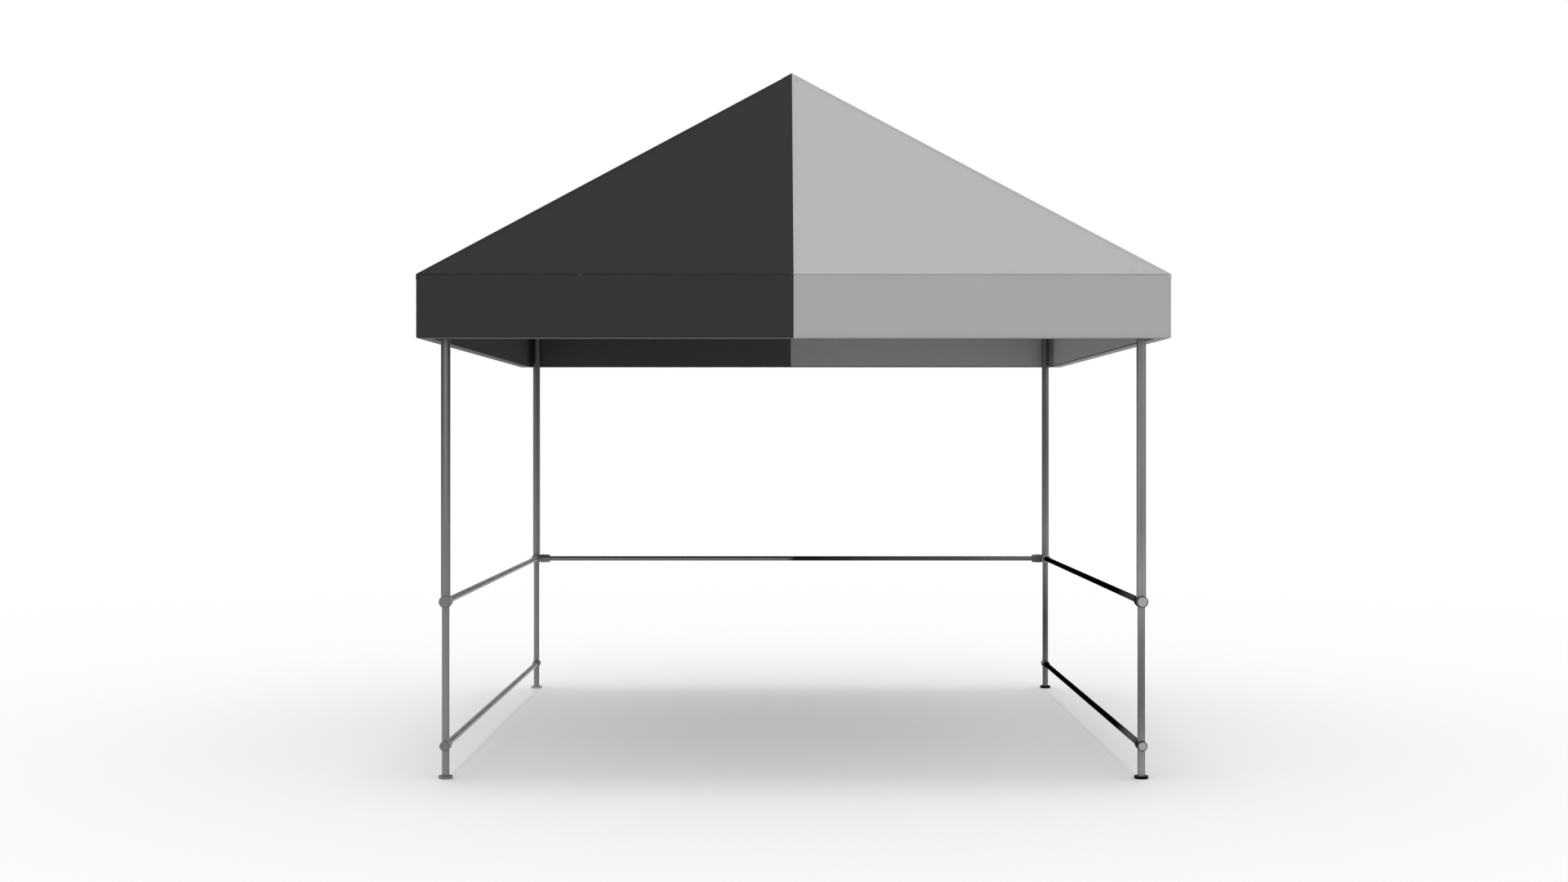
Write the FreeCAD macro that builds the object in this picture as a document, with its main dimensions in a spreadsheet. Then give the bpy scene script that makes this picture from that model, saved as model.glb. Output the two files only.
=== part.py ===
import FreeCAD, Part
import math
import os
import Sketcher

# Free-standing pop up canopy, 3 m x 3 m, millimetres.
# Origin: floor level at the centre of the plan. +Z up, +X to the right of
# someone facing the open front, -Y the open front.
# Left and right sides each have a lower frame (two inner legs tied by a low
# rail) that slides in the two outer legs. Mid rails tie the outer legs at the
# left, the right and the back.

Vector = FreeCAD.Vector
Rotation = FreeCAD.Rotation
Placement = FreeCAD.Placement
UP = Vector(0, 0, 1)

# Driving dimensions: alias, value, note
DIMENSIONS = [
    ("cover_width", 3000.0, "outside width and depth of the cover"),
    ("leg_inset", 100.0, "outside of cover to leg axis"),
    ("valance_bottom", 1767.0, "underside of the valance above the floor"),
    ("eave_height", 2020.0, "eave line above the floor"),
    ("roof_rise", 1088.0, "eave line to peak"),
    ("cloth", 2.0, "thickness of the cover cloth with its coating"),
    ("box_depth", 59.0, "thickness of the boxed valance"),
    ("lining_top", 1990.0, "top edge of the inner face of the valance"),
    ("upper_od", 38.1, "outer leg tube, outside diameter"),
    ("upper_wall", 1.5, "outer leg tube wall"),
    ("upper_bottom", 692.0, "bottom end of the outer leg tube"),
    ("upper_top", 2000.0, "top end of the outer leg tube"),
    ("lower_od", 30.0, "inner leg tube, outside diameter"),
    ("lower_wall", 1.5, "inner leg tube wall"),
    ("lower_bottom", 13.0, "bottom end of the inner leg tube"),
    ("lower_top", 1180.0, "top end of the inner leg tube"),
    ("rail_od", 25.0, "rail tube, outside diameter"),
    ("rail_wall", 1.2, "rail tube wall"),
    ("mid_height", 712.0, "axis of the mid rails above the floor"),
    ("low_height", 133.0, "axis of the low rails above the floor"),
    ("mid_radius", 23.5, "radius of the mid fitting barrel"),
    ("mid_front", 20.0, "leg axis to the outer face of a fitting"),
    ("mid_back", 38.0, "leg axis to the mouth of the mid rail socket"),
    ("low_radius", 20.3, "radius of the low fitting barrel"),
    ("low_back", 33.0, "leg axis to the mouth of the low rail socket"),
    ("edge_break", 2.5, "chamfer of the barrel at its mouth"),
    ("running", 0.05, "radial clearance of sliding and turning fits"),
    ("bush_length", 60.0, "nylon bush in the foot of the outer leg"),
    ("cap_height", 20.0, "guide cap above the inner leg tube"),
    ("plug_length", 28.0, "plugs pushed into tube ends"),
    ("stop_gap", 0.1, "guide cap to the height stop at the lowest setting"),
    ("stop_length", 30.0, "height stop pressed into the outer leg"),
    ("stop_bore", 5.0, "radius of the bore through the height stop"),
    ("knob_depth", 9.8, "thickness of a clamp knob"),
    ("knob_round", 3.5, "round of the knob rim"),
    ("stud_radius", 4.0, "clamp screw radius"),
    ("foot_radius", 28.0, "foot plate radius"),
    ("foot_height", 13.0, "foot plate height at the tube"),
    ("foot_edge", 12.0, "foot plate height at its rim"),
    ("grub_radius", 3.0, "set screw radius"),
    ("grub_length", 8.0, "set screw length"),
    ("rafter_od", 32.0, "hip rafter tube, outside diameter"),
    ("rafter_wall", 1.5, "hip rafter tube wall"),
    ("rafter_drop", 26.0, "hip line straight down to the rafter axis"),
    ("rafter_start", 200.0, "eave corner to rafter foot along the hip"),
    ("hub_reach", 55.0, "peak axis to rafter head, on plan"),
    ("spigot_length", 50.0, "spigot inside a rafter end"),
    ("hub_radius", 40.0, "crown hub radius"),
    ("hub_bottom", 3020.0, "crown hub underside"),
    ("hub_shoulder", 3060.0, "crown hub, top of its straight side"),
    ("hub_top", 3076.0, "crown hub top"),
    ("sleeve_radius", 23.0, "corner casting sleeve radius"),
    ("sleeve_bottom", 1940.0, "corner casting sleeve mouth"),
    ("sleeve_top", 2052.0, "corner casting sleeve top"),
    ("arm_width", 14.0, "corner casting arm thickness"),
    ("arm_bottom", 1960.0, "corner casting arm underside"),
    ("arm_top", 1993.5, "corner casting arm top"),
    ("frame_width", 50.0, "valance frame tube, across the box"),
    ("frame_height", 20.0, "valance frame tube, the other way"),
    ("frame_wall", 1.5, "valance frame tube wall"),
    ("frame_gap", 4.5, "outside of cover to valance frame tube"),
    ("frame_top", 2014.0, "top of the upper valance frame tube"),
    ("frame_bottom", 1772.0, "underside of the lower valance frame tube"),
    ("strut_pitch", 710.0, "spacing of the valance frame struts"),
    ("frame_spigot", 35.0, "spigot inside a valance frame tube"),
]


class Dim:
    """A size that carries its spreadsheet expression and its value."""

    def __init__(self, text, value):
        self.text = text
        self.value = float(value)

    @staticmethod
    def wrap(other):
        return other if isinstance(other, Dim) else Dim("%.6f" % other, other)

    def __add__(self, other):
        other = Dim.wrap(other)
        return Dim("(%s + %s)" % (self.text, other.text), self.value + other.value)

    def __sub__(self, other):
        other = Dim.wrap(other)
        return Dim("(%s - %s)" % (self.text, other.text), self.value - other.value)

    def __mul__(self, other):
        other = Dim.wrap(other)
        return Dim("(%s * %s)" % (self.text, other.text), self.value * other.value)

    def __truediv__(self, other):
        other = Dim.wrap(other)
        return Dim("(%s / %s)" % (self.text, other.text), self.value / other.value)

    def __neg__(self):
        return Dim("(0 - %s)" % self.text, -self.value)


class Sizes:
    """One Dim for each alias of the sheet."""


doc = FreeCAD.newDocument("PopUpCanopy")
sheet = doc.addObject("Spreadsheet::Sheet", "Dims")
for row, (alias, value, note) in enumerate(DIMENSIONS, 1):
    sheet.set("A%d" % row, alias.replace("_", " "))
    sheet.set("B%d" % row, "%g" % value)
    sheet.setAlias("B%d" % row, alias)
    sheet.set("C%d" % row, note)
doc.recompute()
size = Sizes()
for alias, value, note in DIMENSIONS:
    setattr(size, alias, Dim("Dims." + alias, sheet.get(alias)))

PLUG_CLEARANCE = 0.1  # a plug or spigot to the tube wall around it
half_cover = size.cover_width / 2
leg_axis = half_cover - size.leg_inset  # from the centre, in X and in Y
plug_radius = size.lower_od / 2 - size.lower_wall - PLUG_CLEARANCE
grub_hole = size.grub_radius + size.running
stud_hole = size.stud_radius + size.running

SIDES = [("left", -1), ("right", 1)]
# Corner, side in X, side in Y
CORNERS = [
    ("front_left", -1, -1), ("front_right", 1, -1),
    ("back_left", -1, 1), ("back_right", 1, 1),
]
# Turn about the vertical that takes the back right corner to each corner
QUARTERS = {"back_right": 0, "back_left": 90, "front_left": 180, "front_right": 270}
# Rotation that lays a local Z axis along each direction
ALONG = {
    "z": Rotation(),
    "x": Rotation(Vector(0, 1, 0), 90),
    "-x": Rotation(Vector(0, 1, 0), -90),
    "y": Rotation(Vector(1, 0, 0), -90),
    "-y": Rotation(Vector(1, 0, 0), 90),
}
SUBPARTS = []


# ------------------------------------------------ placing and combining
def bind(obj, prop, length):
    obj.setExpression(prop, Dim.wrap(length).text)


def place(obj, at, rotation):
    """Bind a position to the sheet; the rotation stays a constant."""
    at = [Dim.wrap(a) for a in at]
    obj.Placement = Placement(Vector(*[a.value for a in at]), rotation)
    for axis, a in zip("xyz", at):
        bind(obj, ".Placement.Base." + axis, a)


def corner_place(obj, side_x, side_y, height):
    """Stand a piece on a leg axis, its local -Y side facing outwards."""
    spin = Rotation(UP, 180 if side_y > 0 else 0)
    place(obj, (leg_axis * side_x, leg_axis * side_y, height), spin)


def turned(obj, degrees):
    """Turn a piece whose own position is not bound about the canopy's vertical axis."""
    obj.Placement = Placement(Vector(), Rotation(UP, degrees)).multiply(obj.Placement)
    return obj


def keep(obj, label):
    """Label a finished piece and list it for export."""
    obj.Label = label
    SUBPARTS.append(obj)


def primitive(kind, name, at, rotation, **lengths):
    obj = doc.addObject("Part::" + kind, name)
    for prop, length in lengths.items():
        bind(obj, prop, length)
    place(obj, at, rotation)
    return obj


def cylinder(name, radius, height, at, along="z"):
    return primitive("Cylinder", name, at, ALONG[along], Radius=radius, Height=height)


def cone(name, radius1, radius2, height, at, along="z"):
    return primitive("Cone", name, at, ALONG[along],
                     Radius1=radius1, Radius2=radius2, Height=height)


def block(name, length, width, height, at, rotation=ALONG["z"]):
    return primitive("Box", name, at, rotation, Length=length, Width=width, Height=height)


def fuse(name, pieces):
    obj = doc.addObject("Part::MultiFuse", name)
    obj.Shapes = pieces
    obj.Refine = True
    return obj


def cut(name, base, tools):
    obj = doc.addObject("Part::Cut", name)
    obj.Base = base
    obj.Tool = tools[0] if len(tools) == 1 else fuse(name + "_tools", tools)
    obj.Refine = True
    return obj


def group(name, pieces):
    obj = doc.addObject("Part::Compound", name)
    obj.Links = pieces
    return obj


# --------------------------------------------------- sketches and bodies
def sketch_on(body, name, role):
    plane = next(f for f in body.Origin.OriginFeatures if f.Role == role)
    sketch = body.newObject("Sketcher::SketchObject", name)
    sketch.AttachmentSupport = [(plane, "")]
    sketch.MapMode = "FlatFace"
    return sketch


def hold_value(sketch, length, kind, *elements):
    """Add a constraint whose value comes from the sheet."""
    index = sketch.addConstraint(Sketcher.Constraint(kind, *elements, length.value))
    bind(sketch, "Constraints[%d]" % index, length)


def hold_point(sketch, geometry, point, x, y):
    """Hold a point by its coordinates; a zero puts it on the sketch axis."""
    for length, kind, axis in ((x, "DistanceX", -2), (y, "DistanceY", -1)):
        if abs(length.value) < 1e-9:
            sketch.addConstraint(Sketcher.Constraint("PointOnObject", geometry, point, axis))
        else:
            hold_value(sketch, length, kind, -1, 1, geometry, point)


def add_circle(sketch, diameter, x=0, y=0):
    diameter, x, y = Dim.wrap(diameter), Dim.wrap(x), Dim.wrap(y)
    circle = Part.Circle(Vector(x.value, y.value, 0), UP, diameter.value / 2)
    geometry = sketch.addGeometry(circle)
    hold_point(sketch, geometry, 3, x, y)
    hold_value(sketch, diameter, "Diameter", geometry)


def add_polygon(sketch, points):
    """Closed outline whose every corner is held by the sheet."""
    points = [(Dim.wrap(x), Dim.wrap(y)) for x, y in points]
    corners = [Vector(x.value, y.value, 0) for x, y in points]
    lines = [sketch.addGeometry(Part.LineSegment(start, end))
             for start, end in zip(corners, corners[1:] + corners[:1])]
    for line, following in zip(lines, lines[1:] + lines[:1]):
        sketch.addConstraint(Sketcher.Constraint("Coincident", line, 2, following, 1))
    for line, (x, y) in zip(lines, points):
        hold_point(sketch, line, 1, x, y)


def add_feature(body, kind, name):
    feature = body.newObject("PartDesign::" + kind, name)
    body.Tip = feature
    return feature


def tube_body(name, outside, wall, length):
    """Round tube standing on its own XY plane."""
    body = doc.addObject("PartDesign::Body", name)
    sketch = sketch_on(body, name + "_ring", "XY_Plane")
    add_circle(sketch, outside)
    add_circle(sketch, outside - wall * 2)
    pad = add_feature(body, "Pad", name + "_pad")
    pad.Profile = sketch
    bind(pad, "Length", length)
    return body


def pocket_along_normal(body, name, sketch, length):
    """Pocket that runs the way the sketch faces."""
    pocket = add_feature(body, "Pocket", name)
    pocket.Profile = sketch
    pocket.Reversed = True
    bind(pocket, "Length", length)
    return pocket


def side_hole(body, name, height):
    """Clamp screw hole through the wall on the local -Y side."""
    sketch = sketch_on(body, name, "XZ_Plane")
    add_circle(sketch, stud_hole * 2, 0, height)
    pocket_along_normal(body, name + "_pocket", sketch, 60)


def revolve_body(name, outline):
    """Turn an outline of (radius, height) points about the local Z axis."""
    body = doc.addObject("PartDesign::Body", name)
    sketch = sketch_on(body, name + "_profile", "XZ_Plane")
    add_polygon(sketch, outline)
    turn = add_feature(body, "Revolution", name + "_turn")
    turn.Profile = sketch
    turn.ReferenceAxis = (sketch, ["V_Axis"])
    turn.Angle = 360
    return body


# ---------------------------------------------------------------- legs
BUSH_LIFT = 2.0  # foot of the outer leg to the bush

bush_bottom = size.upper_bottom + BUSH_LIFT
bush_od = size.upper_od - size.upper_wall * 2 - size.running * 2
bush_wall = (bush_od - size.lower_od - size.running * 2) / 2
bushes = []
for corner, sx, sy in CORNERS:
    upper = tube_body("UpperLeg_" + corner, size.upper_od, size.upper_wall,
                      size.upper_top - size.upper_bottom)
    corner_place(upper, sx, sy, size.upper_bottom)
    side_hole(upper, "UpperLegHole_" + corner, size.mid_height - size.upper_bottom)
    keep(upper, corner + "_upper_leg")

    lower = tube_body("LowerLeg_" + corner, size.lower_od, size.lower_wall,
                      size.lower_top - size.lower_bottom)
    corner_place(lower, sx, sy, size.lower_bottom)
    keep(lower, corner + "_lower_leg")

    bush = tube_body("Bush_" + corner, bush_od, bush_wall, size.bush_length)
    corner_place(bush, sx, sy, bush_bottom)
    side_hole(bush, "BushHole_" + corner, size.mid_height - bush_bottom)
    bushes.append(bush)
keep(group("LegBushes", bushes), "leg_bushes")

# Guide caps: a plug in the inner tube under a collar that runs in the outer tube
CAP_CHAMFER = 3.0

collar_radius = size.upper_od / 2 - size.upper_wall - size.running
for side, side_x in SIDES:
    caps = []
    for corner, sx, sy in CORNERS:
        if sx != side_x:
            continue
        cap = revolve_body("GuideCap_" + corner, [
            (0, -size.plug_length),
            (plug_radius, -size.plug_length),
            (plug_radius, 0),
            (collar_radius, 0),
            (collar_radius, size.cap_height - CAP_CHAMFER),
            (collar_radius - CAP_CHAMFER, size.cap_height),
            (0, size.cap_height),
        ])
        corner_place(cap, sx, sy, size.lower_top)
        caps.append(cap)
    keep(group("GuideCaps_" + side, caps), side + "_guide_caps")

# Height stops: a grooved steel ring pressed into each outer leg, on which the
# guide cap bears
STOP_CLEARANCE = 0.02
STOP_CHAMFER = 1.5
GROOVE_DEPTH = 1.2
GROOVE_FLOOR = 2.0  # half widths of the groove
GROOVE_MOUTH = 3.0

stop_radius = size.upper_od / 2 - size.upper_wall - STOP_CLEARANCE
groove = size.stop_length / 2
stops = []
for corner, sx, sy in CORNERS:
    stop = revolve_body("HeightStop_" + corner, [
        (size.stop_bore, 0),
        (stop_radius - STOP_CHAMFER, 0),
        (stop_radius, STOP_CHAMFER),
        (stop_radius, groove - GROOVE_MOUTH),
        (stop_radius - GROOVE_DEPTH, groove - GROOVE_FLOOR),
        (stop_radius - GROOVE_DEPTH, groove + GROOVE_FLOOR),
        (stop_radius, groove + GROOVE_MOUTH),
        (stop_radius, size.stop_length - STOP_CHAMFER),
        (stop_radius - STOP_CHAMFER, size.stop_length),
        (size.stop_bore, size.stop_length),
    ])
    corner_place(stop, sx, sy, size.lower_top + size.cap_height + size.stop_gap)
    stops.append(stop)
keep(group("HeightStops", stops), "leg_height_stops")

# Feet: a round plate with a plug that is pressed into the inner leg
FOOT_BOTTOM_CHAMFER = 2.5
FOOT_TOP_CHAMFER = 1.0
FOOT_SHOULDER = 1.0  # outside of the leg tube to the start of the slope
PLUG_CHAMFER = 2.0

plug_top = size.foot_height + size.plug_length
for corner, sx, sy in CORNERS:
    foot = revolve_body("Foot_" + corner, [
        (0, 0),
        (size.foot_radius - FOOT_BOTTOM_CHAMFER, 0),
        (size.foot_radius, FOOT_BOTTOM_CHAMFER),
        (size.foot_radius, size.foot_edge - FOOT_TOP_CHAMFER),
        (size.foot_radius - FOOT_TOP_CHAMFER, size.foot_edge),
        (size.lower_od / 2 + FOOT_SHOULDER, size.foot_height),
        (plug_radius, size.foot_height),
        (plug_radius, plug_top - PLUG_CHAMFER),
        (plug_radius - PLUG_CHAMFER, plug_top),
        (0, plug_top),
    ])
    corner_place(foot, sx, sy, 0)
    keep(foot, corner + "_foot")

# ------------------------------------------------------------ fittings
# Distances from the leg axis to the bottom of each rail socket and to its set screw
MID_SOCKET, MID_GRUB = 22.0, 30.0
LOW_SOCKET, LOW_GRUB = 18.5, 26.0
BACK_SOCKET, BACK_GRUB = 23.5, 62.0
GRUB_BORE_BOTTOM, GRUB_BORE_LENGTH = -30.0, 20.0  # from the rail axis, upwards
SLIDE_CLEARANCE = 0.15  # inner leg to the hole under the outer leg

# Stepped and grooved sleeve for the back rail: start and end from the leg axis, radius
SLEEVE_STEPS = [
    (15.0, 25.0, 19.5), (25.0, 29.0, 22.3), (29.0, 33.5, 20.8), (33.5, 42.0, 22.9),
    (42.0, 46.5, 20.6), (46.5, 55.0, 21.9), (55.0, 71.5, 21.2),
]
SLEEVE_CHAMFER = 1.5
sleeve_end, sleeve_end_radius = SLEEVE_STEPS[-1][1:]

socket_radius = size.rail_od / 2 + size.running


def barrel(name, radius, back):
    """Cross barrel along Y with a broken edge at the socket mouth."""
    straight_end = back - size.edge_break
    return fuse(name, [
        cylinder(name + "_front", radius, size.mid_front + straight_end,
                 (0, -size.mid_front, 0), "y"),
        cone(name + "_mouth", radius, radius - size.edge_break, size.edge_break,
             (0, straight_end, 0), "y"),
    ])


def barrel_bores(name, socket, grub):
    """Rail socket, clamp screw hole and set screw hole of a barrel."""
    return [
        cylinder(name + "_socket", socket_radius, 30, (0, socket, 0), "y"),
        cylinder(name + "_studbore", stud_hole, 30, (0, -25, 0), "y"),
        cylinder(name + "_grubbore", grub_hole, GRUB_BORE_LENGTH, (0, grub, GRUB_BORE_BOTTOM)),
    ]


def back_sleeve(name, way):
    """Solids and bores of the sleeve that points along local X, way +1 or -1."""
    along = "x" if way > 0 else "-x"
    solids = [cylinder("%s_step%d" % (name, k), radius, end - start, (way * start, 0, 0), along)
              for k, (start, end, radius) in enumerate(SLEEVE_STEPS)]
    solids.append(cone(name + "_sleevemouth", sleeve_end_radius,
                       sleeve_end_radius - SLEEVE_CHAMFER, SLEEVE_CHAMFER,
                       (way * sleeve_end, 0, 0), along))
    bores = [
        cylinder(name + "_sleevebore", socket_radius, 60, (way * BACK_SOCKET, 0, 0), along),
        cylinder(name + "_sleevegrub", grub_hole, GRUB_BORE_LENGTH,
                 (way * BACK_GRUB, 0, GRUB_BORE_BOTTOM)),
    ]
    return solids, bores


def mid_fitting(name, sx, sy):
    body = barrel(name + "_barrel", size.mid_radius, size.mid_back)
    tools = [
        cylinder(name + "_legbore", size.upper_od / 2 + size.running, 60,
                 (0, 0, size.upper_bottom - size.mid_height)),
        cylinder(name + "_slidebore", size.lower_od / 2 + SLIDE_CLEARANCE, 30, (0, 0, -40)),
    ] + barrel_bores(name, MID_SOCKET, MID_GRUB)
    if sy > 0:
        # The piece is turned half round, so the middle of the back lies towards
        # local +X on the right leg and local -X on the left leg
        solids, bores = back_sleeve(name, sx)
        body = fuse(name + "_body", [body] + solids)
        tools += bores
    return cut(name, body, tools)


def low_fitting(name):
    leg_bore = cylinder(name + "_legbore", size.lower_od / 2 + size.running, 60, (0, 0, -30))
    return cut(name, barrel(name + "_barrel", size.low_radius, size.low_back),
               [leg_bore] + barrel_bores(name, LOW_SOCKET, LOW_GRUB))


for corner, sx, sy in CORNERS:
    fitting = mid_fitting("MidFitting_" + corner, sx, sy)
    corner_place(fitting, sx, sy, size.mid_height)
    keep(fitting, corner + "_mid_fitting")

    fitting = low_fitting("LowFitting_" + corner)
    corner_place(fitting, sx, sy, size.low_height)
    keep(fitting, corner + "_low_fitting")

# --------------------------------------------------------------- rails
RAIL_GAP = 0.5  # rail end to the bottom of its socket


def rail_tube(name, socket):
    """Rail tube along local Z between two sockets, and half its length."""
    half_length = leg_axis - (socket + RAIL_GAP)
    return tube_body(name, size.rail_od, size.rail_wall, half_length * 2), half_length


for side, sx in SIDES:
    for level, socket, height in (("mid", MID_SOCKET, size.mid_height),
                                  ("low", LOW_SOCKET, size.low_height)):
        rail, half_length = rail_tube("Rail_%s_%s" % (level, side), socket)
        place(rail, (leg_axis * sx, -half_length, height), ALONG["y"])
        keep(rail, "%s_%s_rail" % (side, level))
rail, half_length = rail_tube("Rail_mid_back", BACK_SOCKET)
place(rail, (-half_length, leg_axis, size.mid_height), ALONG["x"])
keep(rail, "back_mid_rail")

# --------------------------------------------------------- clamp knobs
KNOB_GAP = 0.2  # outer face of the fitting to the knob
STUD_CHAMFER = 0.8
KNOB_CHAMFER = 1.0  # on the side towards the leg
FLUTE_COUNT = 30
FLUTE_DIAMETER = 1.8
FLUTE_OFFSET = 0.35  # knob edge outwards to the flute axis
FLUTE_SHARE = 0.62  # flute length as a share of the knob's thickness


def knob(name, radius):
    """Disc with a rounded rim and a fluted edge on a screw whose tip bears on the
    inner leg; local Z points away from the leg."""
    tip = size.mid_front + KNOB_GAP - size.lower_od / 2 - size.running
    body = revolve_body(name, [
        (0, -tip),
        (size.stud_radius - STUD_CHAMFER, -tip),
        (size.stud_radius, -tip + STUD_CHAMFER),
        (size.stud_radius, 0),
        (radius - KNOB_CHAMFER, 0),
        (radius, KNOB_CHAMFER),
        (radius, size.knob_depth),
        (0, size.knob_depth),
    ])

    def on_rim(edge):
        curve = edge.Curve
        return (hasattr(curve, "Radius") and abs(curve.Radius - radius.value) < 0.01
                and abs(curve.Center.z - size.knob_depth.value) < 0.01)

    # The edges are only there to choose from once the disc has been computed
    doc.recompute()
    disc = body.Tip
    rim = ["Edge%d" % k for k, edge in enumerate(disc.Shape.Edges, 1) if on_rim(edge)]
    fillet = add_feature(body, "Fillet", name + "_rim")
    fillet.Base = (disc, rim)
    bind(fillet, "Radius", size.knob_round)

    sketch = sketch_on(body, name + "_flute", "XY_Plane")
    add_circle(sketch, FLUTE_DIAMETER, radius + FLUTE_OFFSET, 0)
    flute = pocket_along_normal(body, name + "_flutecut", sketch, size.knob_depth * FLUTE_SHARE)
    pattern = add_feature(body, "PolarPattern", name + "_flutes")
    pattern.Originals = [flute]
    pattern.Axis = (sketch, ["N_Axis"])
    pattern.Angle = 360
    pattern.Occurrences = FLUTE_COUNT
    return body


for corner, sx, sy in CORNERS:
    for level, radius, height in (("mid", size.mid_radius, size.mid_height),
                                  ("low", size.low_radius, size.low_height)):
        disc = knob("Knob_%s_%s" % (level, corner), radius)
        place(disc, (leg_axis * sx, (leg_axis + size.mid_front + KNOB_GAP) * sy, height),
              ALONG["-y" if sy < 0 else "y"])
        keep(disc, "%s_%s_knob" % (corner, level))

# ------------------------------------------------------------ hip line
# Everything on the hip is laid out for the back right corner, by distance
# along the rafter axis from the eave corner, then turned to its own corner.
JOINT_GAP = 0.4  # rafter end to the collar or neck it meets
FOOT_SCREW = 25.0  # rafter foot to its screw
HEAD_SCREW = 22.0  # rafter head to its screw
SCREW_RADIUS = 2.5
SCREW_BORE = 2.55  # radius of the screw hole in a spigot
RAFTER_HOLE = 2.6  # radius of the screw hole in a rafter

rise = size.roof_rise.value
half_width = half_cover.value
eave = size.eave_height.value
half_diagonal = half_width * math.sqrt(2)
hip_length = math.hypot(half_diagonal, rise)
hip_foot = Vector(half_width, half_width, eave - size.rafter_drop.value)
hip = Vector(-half_width, -half_width, rise)
hip.normalize()
# Square to the hip in its vertical plane, pointing down
under = hip.cross(hip.cross(UP))
under.normalize()

rafter_start = size.rafter_start.value
rafter_end = (half_diagonal - size.hub_reach.value) * hip_length / half_diagonal
screw_places = (rafter_start + FOOT_SCREW, rafter_end - HEAD_SCREW)
rafter_radius = size.rafter_od / 2
spigot_radius = rafter_radius - size.rafter_wall - PLUG_CLEARANCE


def hip_cylinder(name, radius, start, end):
    obj = doc.addObject("Part::Cylinder", name)
    bind(obj, "Radius", radius)
    obj.Height = end - start
    obj.Placement = Placement(hip_foot + hip * start, Rotation(UP, hip))
    return obj


def hip_screw(name, radius, distance, outer, inner):
    """Cylinder square to the rafter on its underside, between two depths off its axis."""
    obj = doc.addObject("Part::Cylinder", name)
    obj.Radius = radius
    obj.Height = outer - inner
    obj.Placement = Placement(hip_foot + hip * distance + under * outer,
                              Rotation(UP, under * -1))
    return obj


for corner, degrees in QUARTERS.items():
    name = "Rafter_" + corner
    tube = tube_body(name, size.rafter_od, size.rafter_wall, rafter_end - rafter_start)
    tube.Placement = Placement(hip_foot + hip * rafter_start, Rotation(UP, hip))
    holes = [hip_screw("%s_hole%d" % (name, k), RAFTER_HOLE, distance, 40, 8)
             for k, distance in enumerate(screw_places)]
    keep(turned(cut(name + "_drilled", tube, holes), degrees), corner + "_rafter")

# Crown hub: a turned hub with four spigots, hollow below
HUB_SKIRT = 4.0  # chamfer of the lower edge
HUB_TAPER = 8.0  # loss of radius from shoulder to top
HUB_WALL = 14.0  # hub side to the hollow
HUB_HOLLOW = 11.0  # depth of the hollow
SPIGOT_STOP = 10.0  # inner end of a spigot short of the peak
PEG_HOLE = 4.05  # radius
PEG_HOLE_DEPTH = 20.0

hub_parts = [
    cylinder("Hub_core", size.hub_radius, size.hub_shoulder - size.hub_bottom - HUB_SKIRT,
             (0, 0, size.hub_bottom + HUB_SKIRT)),
    cone("Hub_top", size.hub_radius, size.hub_radius - HUB_TAPER,
         size.hub_top - size.hub_shoulder, (0, 0, size.hub_shoulder)),
    cone("Hub_skirt", size.hub_radius - HUB_SKIRT, size.hub_radius, HUB_SKIRT,
         (0, 0, size.hub_bottom)),
]
hub_tools = [
    cylinder("Hub_padhole", PEG_HOLE, 30, (0, 0, size.hub_top - PEG_HOLE_DEPTH)),
    cylinder("Hub_hollow", size.hub_radius - HUB_WALL, HUB_HOLLOW + 1,
             (0, 0, size.hub_bottom - 1)),
    # Trims whatever stands above the top face
    cylinder("Hub_topface", 120, 60, (0, 0, size.hub_top)),
]
for corner, degrees in QUARTERS.items():
    inner_end = hip_length - SPIGOT_STOP
    collar = hip_cylinder("Hub_collar_" + corner, rafter_radius,
                          rafter_end + JOINT_GAP, inner_end)
    spigot = hip_cylinder("Hub_spigot_" + corner, spigot_radius,
                          rafter_end - size.spigot_length.value, inner_end)
    screw_hole = hip_screw("Hub_screwhole_" + corner, SCREW_BORE, screw_places[1], 20, 4)
    hub_parts += [turned(collar, degrees), turned(spigot, degrees)]
    hub_tools.append(turned(screw_hole, degrees))
keep(cut("CrownHub", fuse("Hub_solid", hub_parts), hub_tools), "crown_hub")

# Domed pad with a peg, which holds the cloth off the hub
PAD_GAP = 0.2
# Radius, height above the underside of the pad
PAD_OUTLINE = [
    (0, -16), (3.9, -16), (3.9, 0), (30, 0), (30, 3.5),
    (22, 9.5), (14, 15.5), (7, 20.5), (3, 22.5), (0, 23.0),
]
peak_pad = revolve_body("PeakPad", PAD_OUTLINE)
place(peak_pad, (0, 0, size.hub_top + PAD_GAP), ALONG["z"])
keep(peak_pad, "peak_pad")

# ------------------------------------------------------ corner castings
WELD = 1.0  # overlap of solids that are joined
NECK_START = 128.0  # along the hip
SPIGOT_START = 150.0  # along the hip
ARM_OVERLAP = 8.0  # arm end past the inner corner of the elbow block, in X and Y
CASTING_FOOT_INSET = 3.0  # elbow block to the narrower block under it
SLEEVE_SCREW_HEIGHT = 1962.0

block_in = half_cover - size.frame_gap - size.frame_width  # inner faces of an elbow block
tube_top_base = size.frame_top - size.frame_height  # underside of the upper tube
spigot_in = size.frame_wall + PLUG_CLEARANCE
arm_length = (block_in.value + ARM_OVERLAP - leg_axis.value) * math.sqrt(2)
arm_shift = size.arm_width * (math.sqrt(2) / 4)  # centres the arm on the diagonal


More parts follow.
